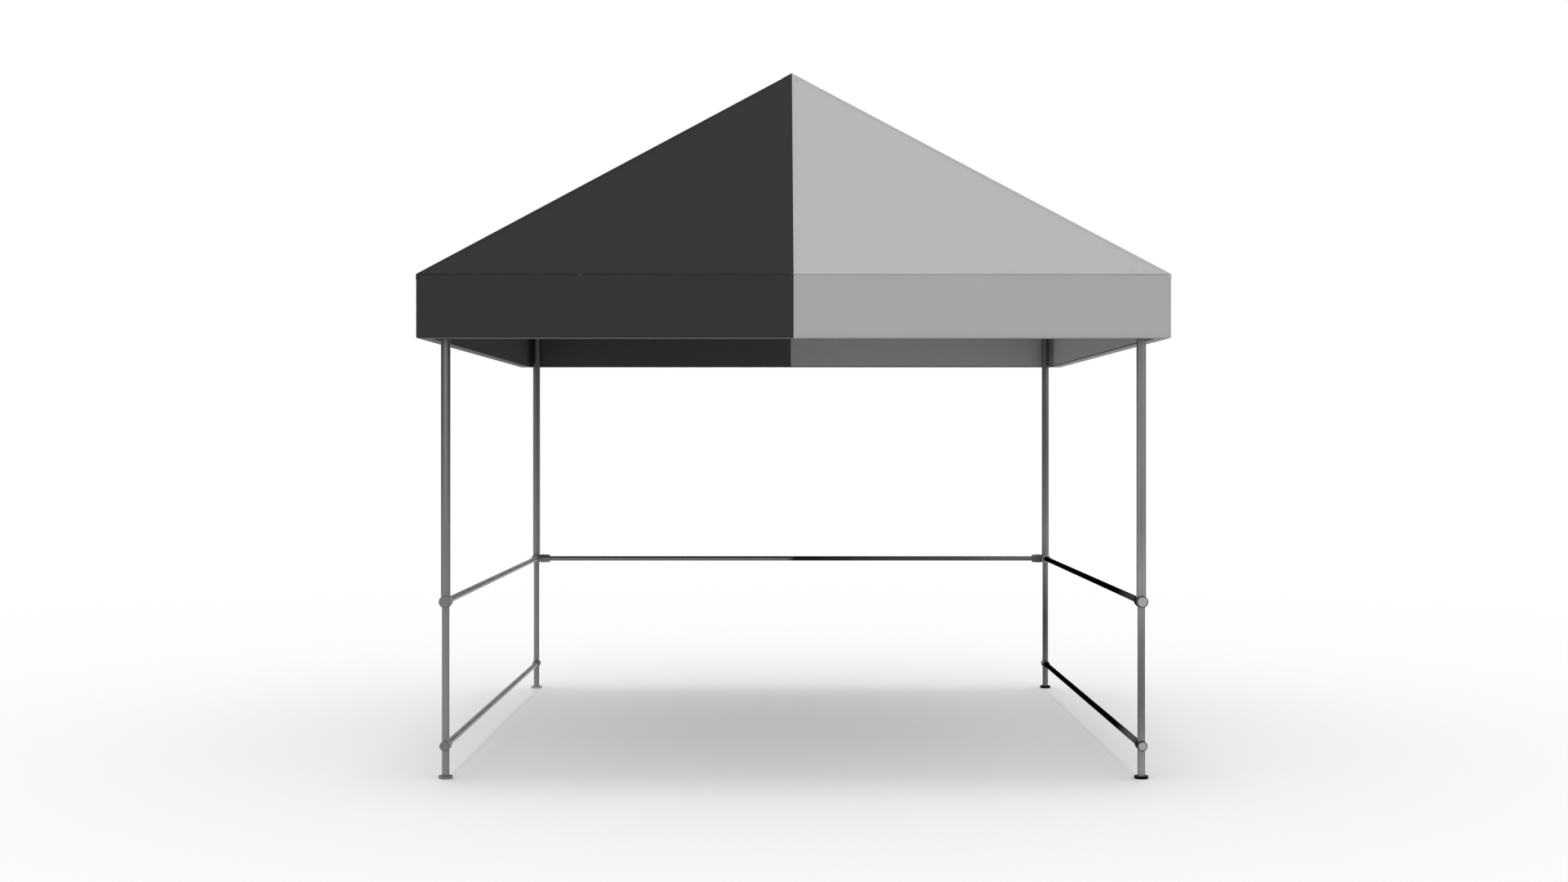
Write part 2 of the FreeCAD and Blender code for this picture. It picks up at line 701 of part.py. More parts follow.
def elbow(name, base):
    """Solid corner block with a spigot each way, in the back right corner."""
    width = size.frame_width - spigot_in * 2
    height = size.frame_height - spigot_in * 2
    length = size.frame_spigot + WELD
    start = block_in - size.frame_spigot
    across = block_in + spigot_in
    bottom = base + spigot_in
    return [
        block(name + "_block", size.frame_width, size.frame_width, size.frame_height,
              (block_in, block_in, base)),
        block(name + "_spigotx", length, width, height, (start, across, bottom)),
        block(name + "_spigoty", width, length, height, (across, start, bottom)),
    ]


def corner_casting(name):
    foot_width = size.frame_width - CASTING_FOOT_INSET * 2
    foot_at = block_in + CASTING_FOOT_INSET
    solids = [
        cylinder(name + "_sleeve", size.sleeve_radius, size.sleeve_top - size.sleeve_bottom,
                 (leg_axis, leg_axis, size.sleeve_bottom)),
        hip_cylinder(name + "_neck", rafter_radius, NECK_START, rafter_start - JOINT_GAP),
        hip_cylinder(name + "_spigot", spigot_radius, SPIGOT_START,
                     rafter_start + size.spigot_length.value),
        block(name + "_arm", arm_length, size.arm_width, size.arm_top - size.arm_bottom,
              (leg_axis + arm_shift, leg_axis - arm_shift, size.arm_bottom),
              Rotation(UP, 45)),
        block(name + "_foot", foot_width, foot_width, tube_top_base - size.arm_bottom + WELD,
              (foot_at, foot_at, size.arm_bottom)),
    ] + elbow(name, tube_top_base)
    tools = [
        # Starts 1 mm below the sleeve mouth and stops 0.5 mm above the leg tube
        cylinder(name + "_legbore", size.upper_od / 2 + size.running,
                 size.upper_top - size.sleeve_bottom + 1.5,
                 (leg_axis, leg_axis, size.sleeve_bottom - 1)),
        hip_screw(name + "_screwhole", SCREW_BORE, screw_places[0], 20, 4),
        cylinder(name + "_grubbore", grub_hole, 12,
                 (leg_axis, leg_axis - 30, SLEEVE_SCREW_HEIGHT), "y"),
    ]
    return cut(name, fuse(name + "_solid", solids), tools)


for corner, degrees in QUARTERS.items():
    keep(turned(corner_casting("Casting_" + corner), degrees), corner + "_corner_casting")

elbows = []
for corner, degrees in QUARTERS.items():
    name = "Elbow_" + corner
    elbows.append(turned(fuse(name, elbow(name, size.frame_bottom)), degrees))
keep(group("ValanceElbows", elbows), "valance_elbows")

# ------------------------------------------- boxed valance ladder frames
TUBE_GAP = 0.5  # tube end to the elbow block
OVERRUN = 2.0  # bores run past the ends of their tubes


def ladder_frame(name):
    """Two hollow tubes joined by five hollow struts, laid out at the front."""
    half_length = block_in - TUBE_GAP
    front = -(half_cover - size.frame_gap)
    wall = size.frame_wall
    bore_width = size.frame_width - wall * 2
    bore_height = size.frame_height - wall * 2
    solids = []
    tools = []
    for k, base in enumerate((tube_top_base, size.frame_bottom)):
        solids.append(block("%s_tube%d" % (name, k), half_length * 2, size.frame_width,
                            size.frame_height, (-half_length, front, base)))
        tools.append(block("%s_bore%d" % (name, k), (half_length + OVERRUN) * 2,
                           bore_width, bore_height,
                           (-half_length - OVERRUN, front + wall, base + wall)))
    strut_base = size.frame_bottom + size.frame_height - WELD
    strut_length = tube_top_base - strut_base + WELD
    for k in range(5):
        left = size.strut_pitch * (k - 2) - size.frame_height / 2
        solids.append(block("%s_strut%d" % (name, k), size.frame_height, size.frame_width,
                            strut_length, (left, front, strut_base)))
        tools.append(block("%s_strutbore%d" % (name, k), bore_height, bore_width,
                           strut_length + OVERRUN * 2,
                           (left + wall, front + wall, strut_base - OVERRUN)))
    return cut(name, fuse(name + "_weld", solids), tools)


for side, degrees in (("front", 0), ("right", 90), ("back", 180), ("left", 270)):
    keep(turned(ladder_frame("ValanceFrame_" + side), degrees), side + "_valance_frame")

# -------------------------------------------------------------- screws
# Bottom end of a set screw above the lowest line of its barrel or sleeve
MID_GRUB_INSET = 1.2
BACK_GRUB_INSET = 0.4
LOW_GRUB_INSET = 0.6
LOW_GRUB_SHORTER = 1.6  # than the set screws of the mid rails
SLEEVE_GRUB_SHORTER = 2.6

# Set screws under the mid rail sockets, and under the back rail sleeves
screws = []
for corner, sx, sy in CORNERS:
    screws.append(cylinder("MidGrub_" + corner, size.grub_radius, size.grub_length,
                           (leg_axis * sx, (leg_axis - MID_GRUB) * sy,
                            size.mid_height - size.mid_radius + MID_GRUB_INSET)))
    if sy > 0:
        screws.append(cylinder("SleeveGrub_" + corner, size.grub_radius, size.grub_length,
                               ((leg_axis - BACK_GRUB) * sx, leg_axis * sy,
                                size.mid_height - sleeve_end_radius + BACK_GRUB_INSET)))
keep(group("RailSetScrews", screws), "rail_set_screws")

# Set screws of the casting sleeves, and the screws of the rafter ends
screws = []
grub_length = size.grub_length - SLEEVE_GRUB_SHORTER
grub_start = leg_axis - size.upper_od / 2 - size.running * 2 - grub_length
for corner, degrees in QUARTERS.items():
    grub = cylinder("SleeveScrew_" + corner, size.grub_radius, grub_length,
                    (leg_axis, grub_start, SLEEVE_SCREW_HEIGHT), "y")
    # The grub's own position is bound, so a compound around it takes the turn
    screws.append(turned(group("SleeveScrewTurned_" + corner, [grub]), degrees))
for corner, degrees in QUARTERS.items():
    for k, distance in enumerate(screw_places):
        tag = "%s_%d" % (corner, k)
        shank = hip_screw("RafterScrewShank_" + tag, SCREW_RADIUS, distance, 17.0, 5.0)
        head = hip_screw("RafterScrewHead_" + tag, 4.5, distance, 19.0, 16.2)
        screws.append(turned(fuse("RafterScrew_" + tag, [shank, head]), degrees))
keep(group("FrameScrews", screws), "frame_screws")

for side, side_x in SIDES:
    screws = [cylinder("LowGrub_" + corner, size.grub_radius,
                       size.grub_length - LOW_GRUB_SHORTER,
                       (leg_axis * sx, (leg_axis - LOW_GRUB) * sy,
                        size.low_height - size.low_radius + LOW_GRUB_INSET))
              for corner, sx, sy in CORNERS if sx == side_x]
    keep(group("LowSetScrews_" + side, screws), side + "_low_set_screws")

# ---------------------------------------------------------------- roof
# Three cloth panels a half, meeting on the hips and at the centre line. They
# are extruded straight down, far enough to be one cloth thick square to the cloth.
apex = Vector(0, 0, eave + rise)
cloth_drop = Vector(0, 0, -size.cloth.value * math.hypot(1.0, rise / half_width))


def prism(points, extrusion):
    return Part.Face(Part.makePolygon(points + [points[0]])).extrude(extrusion)


for side, sx in SIDES:
    front = Vector(sx * half_width, -half_width, eave)
    rear = Vector(sx * half_width, half_width, eave)
    roof = doc.addObject("Part::Feature", "RoofCover_" + side)
    roof.Shape = Part.makeCompound([
        prism([front, rear, apex], cloth_drop),
        prism([front, Vector(0, -half_width, eave), apex], cloth_drop),
        prism([rear, Vector(0, half_width, eave), apex], cloth_drop),
    ])
    keep(roof, "roof_cover_" + side)

# ------------------------------------------------------------- valance
# Outer face, bottom strip and inner face folded round the ladder frames, open
# on top, with the stretches cut short of the corner diagonals.
FACE_DROP = 1.3  # eave line to the top of the outer face, in cloth thicknesses
WEDGE_REACH = 1600.0  # from the centre to past the cover
MITRE_SHIFT = 10.0  # edge of a wedge off the corner diagonal, in X or Y
WEDGE_BOTTOM, WEDGE_HEIGHT = 1700.0, 400.0
# Slot in the lining where a casting arm passes through
SLOT_LENGTH, SLOT_HEIGHT = 60.0, 80.0
SLOT_BELOW_ARM = 8.0
SLOT_WIDTH_RATIO = 2.4  # to the thickness of the arm

face_top = size.eave_height - size.cloth * FACE_DROP
box_in = half_cover - size.box_depth


def square_ring(name, outside, inside, base, top):
    """Square ring round the centre; outside and inside are half widths."""
    outer = block(name + "_out", outside * 2, outside * 2, top - base,
                  (-outside, -outside, base))
    inner = block(name + "_in", inside * 2, inside * 2, top - base + 10,
                  (-inside, -inside, base - 5))
    return cut(name, outer, [inner])


def arm_slot(name, sx, sy):
    """Block on the diagonal, centred on the inner corner of the boxed valance."""
    rotation = Rotation(UP, math.degrees(math.atan2(sy, sx)))
    width = size.arm_width * SLOT_WIDTH_RATIO
    shift = rotation.multVec(Vector(-SLOT_LENGTH / 2, -width.value / 2, 0))
    return block(name, SLOT_LENGTH, width, SLOT_HEIGHT,
                 (box_in * sx + shift.x, box_in * sy + shift.y,
                  size.arm_bottom - SLOT_BELOW_ARM), rotation)


def valance_stretch(name, sx, outline):
    """The part of the folded ring that lies inside a wedge seen on plan."""
    bottom = size.valance_bottom
    ring = fuse(name + "_ring", [
        square_ring(name + "_face", half_cover, half_cover - size.cloth, bottom, face_top),
        square_ring(name + "_strip", half_cover, box_in, bottom, bottom + size.cloth),
        square_ring(name + "_lining", box_in + size.cloth, box_in, bottom, size.lining_top),
    ])
    wedge = doc.addObject("Part::Feature", name + "_wedge")
    wedge.Shape = prism([Vector(x, y, WEDGE_BOTTOM) for x, y in outline],
                        Vector(0, 0, WEDGE_HEIGHT))
    stretch = doc.addObject("Part::Common", name + "_stretch")
    stretch.Base = ring
    stretch.Tool = wedge
    slots = [arm_slot("%s_slot%d" % (name, sy + 1), sx, sy) for sy in (-1, 1)]
    return cut(name, stretch, slots)


wedge_side = WEDGE_REACH - MITRE_SHIFT
for side, sx in SIDES:
    # The side, then half of the front and half of the back
    outlines = {"side": [(sx * MITRE_SHIFT, 0), (sx * WEDGE_REACH, -wedge_side),
                         (sx * WEDGE_REACH, wedge_side)]}
    for end, sy in (("front", -1), ("back", 1)):
        outlines[end] = [(0, sy * MITRE_SHIFT), (0, sy * WEDGE_REACH),
                         (sx * wedge_side, sy * WEDGE_REACH)]
    pieces = [valance_stretch("Valance_%s_%s" % (side, key), sx, outline)
              for key, outline in outlines.items()]
    keep(group("Valance_" + side, pieces), "valance_" + side)

# -------------------------------------------------------------- export
doc.recompute()
bad = []
for obj in doc.Objects:
    if "Invalid" in obj.State or "Error" in obj.State:
        bad.append("%s: %s" % (obj.Label, obj.State))
for obj in SUBPARTS:
    shape = obj.Shape
    if shape.isNull() or not shape.isValid():
        bad.append("%s: shape not valid" % obj.Label)
    elif not shape.Solids:
        bad.append("%s: no solid" % obj.Label)
labels = [obj.Label for obj in SUBPARTS]
if len(set(labels)) != len(labels) or len(labels) > 60:
    bad.append("labels repeat or are too many")
if bad:
    raise RuntimeError("; ".join(bad))

os.makedirs("parts", exist_ok=True)
for obj in SUBPARTS:
    obj.Shape.exportStep("parts/%s.step" % obj.Label)
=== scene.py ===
"""Pop-up canopy: square pyramid roof with a boxed valance, on four telescopic legs.

Metres, +Z up, floor at z = 0, front towards -Y. The cloth is charcoal on the left
half (-X) and light on the right half (+X). The CAD pieces keep their shape and get
materials; the roof covers and valances are replaced by detailed sewn cloth.
"""

import math

import bmesh
import bpy
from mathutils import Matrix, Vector

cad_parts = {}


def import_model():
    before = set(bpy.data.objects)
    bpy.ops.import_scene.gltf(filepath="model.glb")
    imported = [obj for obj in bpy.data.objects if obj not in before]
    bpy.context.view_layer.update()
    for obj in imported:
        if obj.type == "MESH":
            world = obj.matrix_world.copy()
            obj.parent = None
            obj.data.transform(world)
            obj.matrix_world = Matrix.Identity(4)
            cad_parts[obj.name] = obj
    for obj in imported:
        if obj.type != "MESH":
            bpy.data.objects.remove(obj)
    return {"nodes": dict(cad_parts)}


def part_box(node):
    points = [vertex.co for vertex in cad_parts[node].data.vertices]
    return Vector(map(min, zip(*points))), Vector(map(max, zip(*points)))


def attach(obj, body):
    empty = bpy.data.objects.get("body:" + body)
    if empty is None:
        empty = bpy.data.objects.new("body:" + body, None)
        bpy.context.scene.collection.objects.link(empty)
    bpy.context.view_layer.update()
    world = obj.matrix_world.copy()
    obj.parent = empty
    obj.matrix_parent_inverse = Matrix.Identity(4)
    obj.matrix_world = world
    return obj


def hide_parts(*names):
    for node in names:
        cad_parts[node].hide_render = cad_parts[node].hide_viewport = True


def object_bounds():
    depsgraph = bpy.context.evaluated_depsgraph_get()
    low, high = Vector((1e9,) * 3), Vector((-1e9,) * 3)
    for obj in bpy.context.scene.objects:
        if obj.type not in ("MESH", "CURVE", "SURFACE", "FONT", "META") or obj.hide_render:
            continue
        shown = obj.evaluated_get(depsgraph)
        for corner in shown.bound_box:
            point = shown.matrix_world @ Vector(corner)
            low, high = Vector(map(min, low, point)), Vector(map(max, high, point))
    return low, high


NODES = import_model()["nodes"]
CAD_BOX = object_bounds()

# ------------------------------------------------------------------ sizes
roof_low, roof_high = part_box("roof_cover_left")
valance_low, valance_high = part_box("valance_left")
frame_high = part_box("front_valance_frame")[1]
leg_low, leg_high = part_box("front_right_upper_leg")

HALF = -roof_low.x                      # half the width of the roof
APEX = roof_high.z
EAVE = valance_high.z + 0.0026
VALANCE_BOTTOM = valance_low.z
RISE = APEX - EAVE
BOX_IN = -frame_high.y - 0.0045         # reach of the inner face of the boxed valance
OUTER = HALF - 0.0004                   # reach of its outer face
UNDERSIDE = VALANCE_BOTTOM + 0.0012     # cloth height under the box
LINING_TOP = EAVE - 0.030
SLOPE = math.hypot(1.0, RISE / HALF)    # slope length per metre of plan
LEG = (leg_low.x + leg_high.x) / 2      # distance of a leg from the middle
WELT_LIMIT = HALF + 0.0009              # furthest reach of a hip welt

SIDES = {"left": -1.0, "right": 1.0}    # sign of x
ENDS = {"front": -1.0, "back": 1.0}     # sign of y


def on_face(face, across, reach, z):
    """Place on one of the four sides, at a reach out from the centre axis."""
    if face in ENDS:
        return (across, ENDS[face] * reach, z)
    return (SIDES[face] * reach, across, z)


OUTWARD = {face: Vector(on_face(face, 0, 1, 0)) for face in (*ENDS, *SIDES)}
PANEL_NORMAL = {face: Vector(on_face(face, 0, RISE, HALF)).normalized() for face in OUTWARD}


def steps(start, end, count):
    """count equal steps from start to end, both included."""
    return [start + (end - start) * i / count for i in range(count + 1)]


# ---------------------------------------------------------- mesh helpers
def make_object(name, verts, faces, uvs=None, mats=(), face_mats=None):
    """Smooth-shaded object; uvs are given per vertex."""
    mesh = bpy.data.meshes.new(name)
    mesh.from_pydata([tuple(v) for v in verts], [], faces)
    if uvs is not None:
        layer = mesh.uv_layers.new(name="UVMap")
        for poly in mesh.polygons:
            for corner in poly.loop_indices:
                layer.data[corner].uv = uvs[mesh.loops[corner].vertex_index]
    for mat in mats:
        mesh.materials.append(mat)
    for poly in mesh.polygons:
        poly.use_smooth = True
        if face_mats is not None:
            poly.material_index = face_mats[poly.index]
    mesh.update()
    obj = bpy.data.objects.new(name, mesh)
    bpy.context.scene.collection.objects.link(obj)
    return obj


def thicken(obj, thickness):
    """Give a sheet thickness below its surface, as plain mesh."""
    mod = obj.modifiers.new("thickness", "SOLIDIFY")
    mod.thickness = thickness
    mod.offset = -1.0
    mod.use_even_offset = False
    mod.use_rim = True
    bpy.context.view_layer.update()
    graph = bpy.context.evaluated_depsgraph_get()
    mesh = bpy.data.meshes.new_from_object(
        obj.evaluated_get(graph), preserve_all_data_layers=True, depsgraph=graph)
    obj.modifiers.clear()
    sheet = obj.data
    obj.data = mesh
    bpy.data.meshes.remove(sheet)
    obj.data.name = obj.name


def weld(obj, distance=1e-6, tidy=True):
    bm = bmesh.new()
    bm.from_mesh(obj.data)
    bmesh.ops.remove_doubles(bm, verts=bm.verts, dist=distance)
    if tidy:
        bmesh.ops.dissolve_degenerate(bm, dist=1e-7, edges=bm.edges)
        bmesh.ops.recalc_face_normals(bm, faces=bm.faces)
    bm.to_mesh(obj.data)
    bm.free()
    obj.data.update()


def sharp_by_angle(obj, degrees):
    limit = math.radians(degrees)
    bm = bmesh.new()
    bm.from_mesh(obj.data)
    for edge in bm.edges:
        if len(edge.link_faces) == 2:
            edge.smooth = edge.calc_face_angle(0.0) < limit
    bm.to_mesh(obj.data)
    bm.free()


def face_up(obj):
    if sum(p.normal.z * p.area for p in obj.data.polygons) < 0:
        obj.data.flip_normals()


def grid(rows, cols, closed=False):
    """Quads over rows x cols vertices laid out row by row."""
    faces = []
    for r in range(rows - 1):
        for c in range(cols - (0 if closed else 1)):
            a = r * cols + c
            b = r * cols + (c + 1) % cols
            faces.append((a, b, b + cols, a + cols))
    return faces


def sweep(name, loops, mat):
    """Capped skin through a list of equal closed loops of points."""
    n = len(loops[0])
    verts = [p for loop in loops for p in loop]
    faces = grid(len(loops), n, closed=True)
    faces.append(tuple(reversed(range(n))))
    faces.append(tuple(range((len(loops) - 1) * n, len(loops) * n)))
    uvs = []
    along = 0.0
    for i, loop in enumerate(loops):
        if i:
            along += (Vector(loop[0]) - Vector(loops[i - 1][0])).length
        across = 0.0
        for k, p in enumerate(loop):
            if k:
                across += (Vector(p) - Vector(loop[k - 1])).length
            uvs.append((along, across))
    obj = make_object(name, verts, faces, uvs, [mat])
    weld(obj)
    sharp_by_angle(obj, 40)
    return obj


def strip(name, inner, outer, normal, lift, mat):
    """Thin sewn strip between two edge lines lying on the cloth."""
    sink = normal * 0.0004
    loops = []
    for p, q in zip(inner, outer):
        p, q = Vector(p), Vector(q)
        across = q - p
        bevel = across.normalized() * min(0.0012, across.length * 0.2)
        loops.append([
            p - sink, p + normal * lift * 0.6, p + bevel + normal * lift,
            (p + q) / 2 + normal * lift * 1.05,
            q - bevel + normal * lift, q + normal * lift * 0.6, q - sink])
    return sweep(name, loops, mat)


def join(name, objs):
    bpy.ops.object.select_all(action="DESELECT")
    for obj in objs:
        obj.select_set(True)
    bpy.context.view_layer.objects.active = objs[0]
    bpy.ops.object.join()
    objs[0].name = name
    objs[0].data.name = name
    return objs[0]


def hang(obj):
    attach(obj, "upper_frame")


# ------------------------------------------------------- material helpers
class Shader:
    """A material being built: its node tree, output and Principled shader.

    Arguments called value, factor and the like may be a number or a socket.
    """

    def __init__(self, name):
        self.material = bpy.data.materials.new(name)
        self.material.use_nodes = True
        self.tree = self.material.node_tree
        self.tree.nodes.clear()
        self.output = self.node("OutputMaterial")
        self.principled = self.node("BsdfPrincipled")
        self.feed(self.output.inputs[0], self.principled.outputs[0])

    def node(self, kind, **settings):
        node = self.tree.nodes.new("ShaderNode" + kind)
        for key, value in settings.items():
            setattr(node, key, value)
        return node

    def feed(self, socket, value):
        if isinstance(value, bpy.types.NodeSocket):
            self.tree.links.new(value, socket)
        else:
            socket.default_value = value

    def finish(self, colour, roughness, normal=None, specular=0.5, metallic=0.0):
        inputs = self.principled.inputs
        self.feed(inputs["Base Color"], colour)
        self.feed(inputs["Roughness"], roughness)
        self.feed(inputs["Specular IOR Level"], specular)
        self.feed(inputs["Metallic"], metallic)
        if normal is not None:
            self.feed(inputs["Normal"], normal)
        return self.material

    def uv(self):
        return self.node("UVMap", uv_map="UVMap").outputs[0]

    def place(self):
        return self.node("TexCoord").outputs["Object"]

    def axes(self, vector):
        node = self.node("SeparateXYZ")
        self.feed(node.inputs[0], vector)
        return node.outputs

    def facing(self):
        node = self.node("LayerWeight")
        node.inputs["Blend"].default_value = 0.5
        return node.outputs["Facing"]

    def math(self, operation, *values):
        node = self.node("Math", operation=operation)
        for socket, value in zip(node.inputs, values):
            self.feed(socket, value)
        return node.outputs[0]

    def ridges(self, value, rate):
        """Rounded ridges: |sin(value * rate)|."""
        return self.math("ABSOLUTE", self.math("SINE", self.math("MULTIPLY", value, rate)))

    def toward(self, direction):
        """Dot product of the surface normal with a direction."""
        node = self.node("VectorMath", operation="DOT_PRODUCT")
        self.feed(node.inputs[0], self.node("NewGeometry").outputs["Normal"])
        node.inputs[1].default_value = direction
        return node.outputs["Value"]

    def noise(self, vector, scale, detail=3.0, rough=0.55):
        node = self.node("TexNoise")
        node.inputs["Scale"].default_value = scale
        node.inputs["Detail"].default_value = detail
        node.inputs["Roughness"].default_value = rough
        self.feed(node.inputs["Vector"], vector)
        return node.outputs["Fac"]

    def mapping(self, vector, scale=(1, 1, 1), rotation=(0, 0, 0)):
        node = self.node("Mapping")
        node.inputs["Scale"].default_value = scale
        node.inputs["Rotation"].default_value = rotation
        self.feed(node.inputs["Vector"], vector)
        return node.outputs[0]

    def map_range(self, value, start, end, **settings):
        """start..end becomes 0..1."""
        node = self.node("MapRange", **settings)
        node.inputs["From Min"].default_value = start
        node.inputs["From Max"].default_value = end
        self.feed(node.inputs["Value"], value)
        return node.outputs[0]

    def ramp(self, factor, stops):
        """Grey curve; stops are (position, grey)."""
        node = self.node("ValToRGB")
        elements = node.color_ramp.elements
        while len(elements) < len(stops):
            elements.new(0.5)
        for element, (position, grey) in zip(elements, stops):
            element.position = position
            element.color = (grey, grey, grey, 1)
        self.feed(node.inputs[0], factor)
        return node.outputs[0]

    def blend(self, factor, low, high, start=0.3, end=0.7):
        """Grey from low to high as the factor goes from start to end."""
        return self.ramp(factor, [(start, low), (end, high)])

    def mix(self, factor, first, second, mode="MIX"):
        """Mix two colours; a number stands for a grey."""
        node = self.node("Mix", data_type="RGBA", blend_type=mode)
        self.feed(node.inputs[0], factor)
        for socket, colour in ((node.inputs[6], first), (node.inputs[7], second)):
            if isinstance(colour, float):
                colour = (colour, colour, colour, 1)
            self.feed(socket, colour)
        return node.outputs[2]

    def bump(self, height, strength, distance, normal=None):
        node = self.node("Bump")
        node.inputs["Strength"].default_value = strength
        node.inputs["Distance"].default_value = distance
        self.feed(node.inputs["Height"], height)
        if normal is not None:
            self.feed(node.inputs["Normal"], normal)
        return node.outputs[0]

    def curve(self, value, stops, low=0.0, high=1.0):
        """Multiplier curve: stops are (value, factor) with factors up to 4."""
        span = high - low
        scaled = [(max(0.0, min(1.0, (p - low) / span)), f / 4.0) for p, f in sorted(stops)]
        ramp = self.ramp(self.map_range(value, low, high), scaled)
        return self.math("MULTIPLY", ramp, 4.0)

    def tint(self, colour, factor):
        """Colour times a grey factor that may pass 1."""
        node = self.node("VectorMath", operation="SCALE")
        self.feed(node.inputs[0], colour)
        self.feed(node.inputs["Scale"], factor)
        return node.outputs[0]

    def fade(self, factor, place, fade):
        """Let a factor go back to 1 along an axis: (axis, place of 1, place of full)."""
        if fade is None:
            return factor
        axis, none_at, full_at = fade
        amount = self.map_range(self.axes(place)["xyz".index(axis)], none_at, full_at)
        excess = self.math("SUBTRACT", factor, 1.0)
        return self.math("ADD", self.math("MULTIPLY", excess, amount), 1.0)


# -------------------------------------------------------------- materials
def weave_height(shader, uv, pitch):
    """Plain weave: warp and weft crowns that pass over each other in turn."""
    axes = shader.axes(shader.mapping(uv, scale=(1.0 / pitch, 1.0 / pitch, 1.0)))
    u, v = axes[0], axes[1]
    cell = shader.math("ADD", shader.math("FLOOR", u), shader.math("FLOOR", v))
    parity = shader.math("ABSOLUTE", shader.math("MODULO", cell, 2.0))
    warp = shader.math("MULTIPLY", shader.ridges(u, math.pi), parity)
    other = shader.math("SUBTRACT", 1.0, parity)
    weft = shader.math("MULTIPLY", shader.ridges(v, math.pi), other)
    return shader.math("ADD", warp, weft)


def cloth_material(name, grey, specular, pitch=0.0009):
    """Woven cloth; pitch is the spacing of the yarns."""
    roughness = 0.82
    shader = Shader(name)
    uv = shader.uv()
    weave = weave_height(shader, uv, pitch)
    broad = shader.noise(uv, scale=3.0, detail=4.0)
    fine = shader.noise(uv, scale=260.0, detail=2.0)
    # thick and thin yarns, long along u and along v
    slubs = [shader.noise(shader.mapping(uv, scale=scale), scale=1.0, detail=2.0)
             for scale in ((20.0, 1400.0, 1.0), (1400.0, 20.0, 1.0))]
    colour = shader.mix(broad, grey * 0.95, grey * 1.05)
    colour = shader.mix(0.35, colour, shader.blend(fine, grey * 0.93, grey * 1.07))
    # painted shade: the cloth colour is darker in the hollows between yarn crowns, where the weave
    # height is low
    yarn = shader.blend(weave, 0.80, 1.0, start=0.0, end=0.55)
    colour = shader.mix(0.55, colour, yarn, "MULTIPLY")
    swell = shader.noise(uv, scale=5.0, detail=2.0, rough=0.4)
    normal = shader.bump(swell, strength=0.10, distance=0.004)
    normal = shader.bump(weave, strength=0.45, distance=0.00022, normal=normal)
    slub = shader.math("ADD", *slubs)
    normal = shader.bump(slub, strength=0.25, distance=0.00012, normal=normal)
    return shader.finish(
        colour, normal=normal, specular=specular,
        roughness=shader.blend(broad, roughness - 0.05, roughness + 0.05, start=0.25, end=0.75))


def cloth_pair(stem, charcoal, light):
    return {"left": cloth_material(stem + "_charcoal", charcoal, specular=0.05),
            "right": cloth_material(stem + "_light", light, specular=0.15)}


def webbing_material(name, grey):
    """Herringbone tape: rows of slanted yarns that change way every row."""
    row, yarn_pitch = 0.006, 0.0016
    shader = Shader(name)
    uv = shader.uv()
    axes = shader.axes(uv)
    slant = shader.math("ADD", axes[0], shader.math("PINGPONG", axes[1], row))
    yarn = shader.ridges(slant, math.pi / yarn_pitch)
    edge = shader.ridges(axes[1], math.pi / row)
    height = shader.math("ADD", yarn, shader.math("MULTIPLY", edge, 0.5))
    broad = shader.noise(uv, scale=5.0, detail=4.0)
    colour = shader.mix(broad, grey * 0.92, grey * 1.08)
    # painted shade: the tape colour is darker between the slanted yarns, where the yarn height is
    # low
    shade = shader.blend(yarn, 0.72, 1.0, start=0.0, end=0.6)
    colour = shader.mix(0.5, colour, shade, "MULTIPLY")
    normal = shader.bump(height, strength=0.4, distance=0.0003)
    return shader.finish(colour, roughness=0.7, normal=normal)


def streak_scale(along, lengthwise, crosswise, even):
    """Noise scale that is low along one axis, or even for along="all"."""
    if along == "all":
        return (even,) * 3
    return tuple(lengthwise if axis == along else crosswise for axis in "xyz")


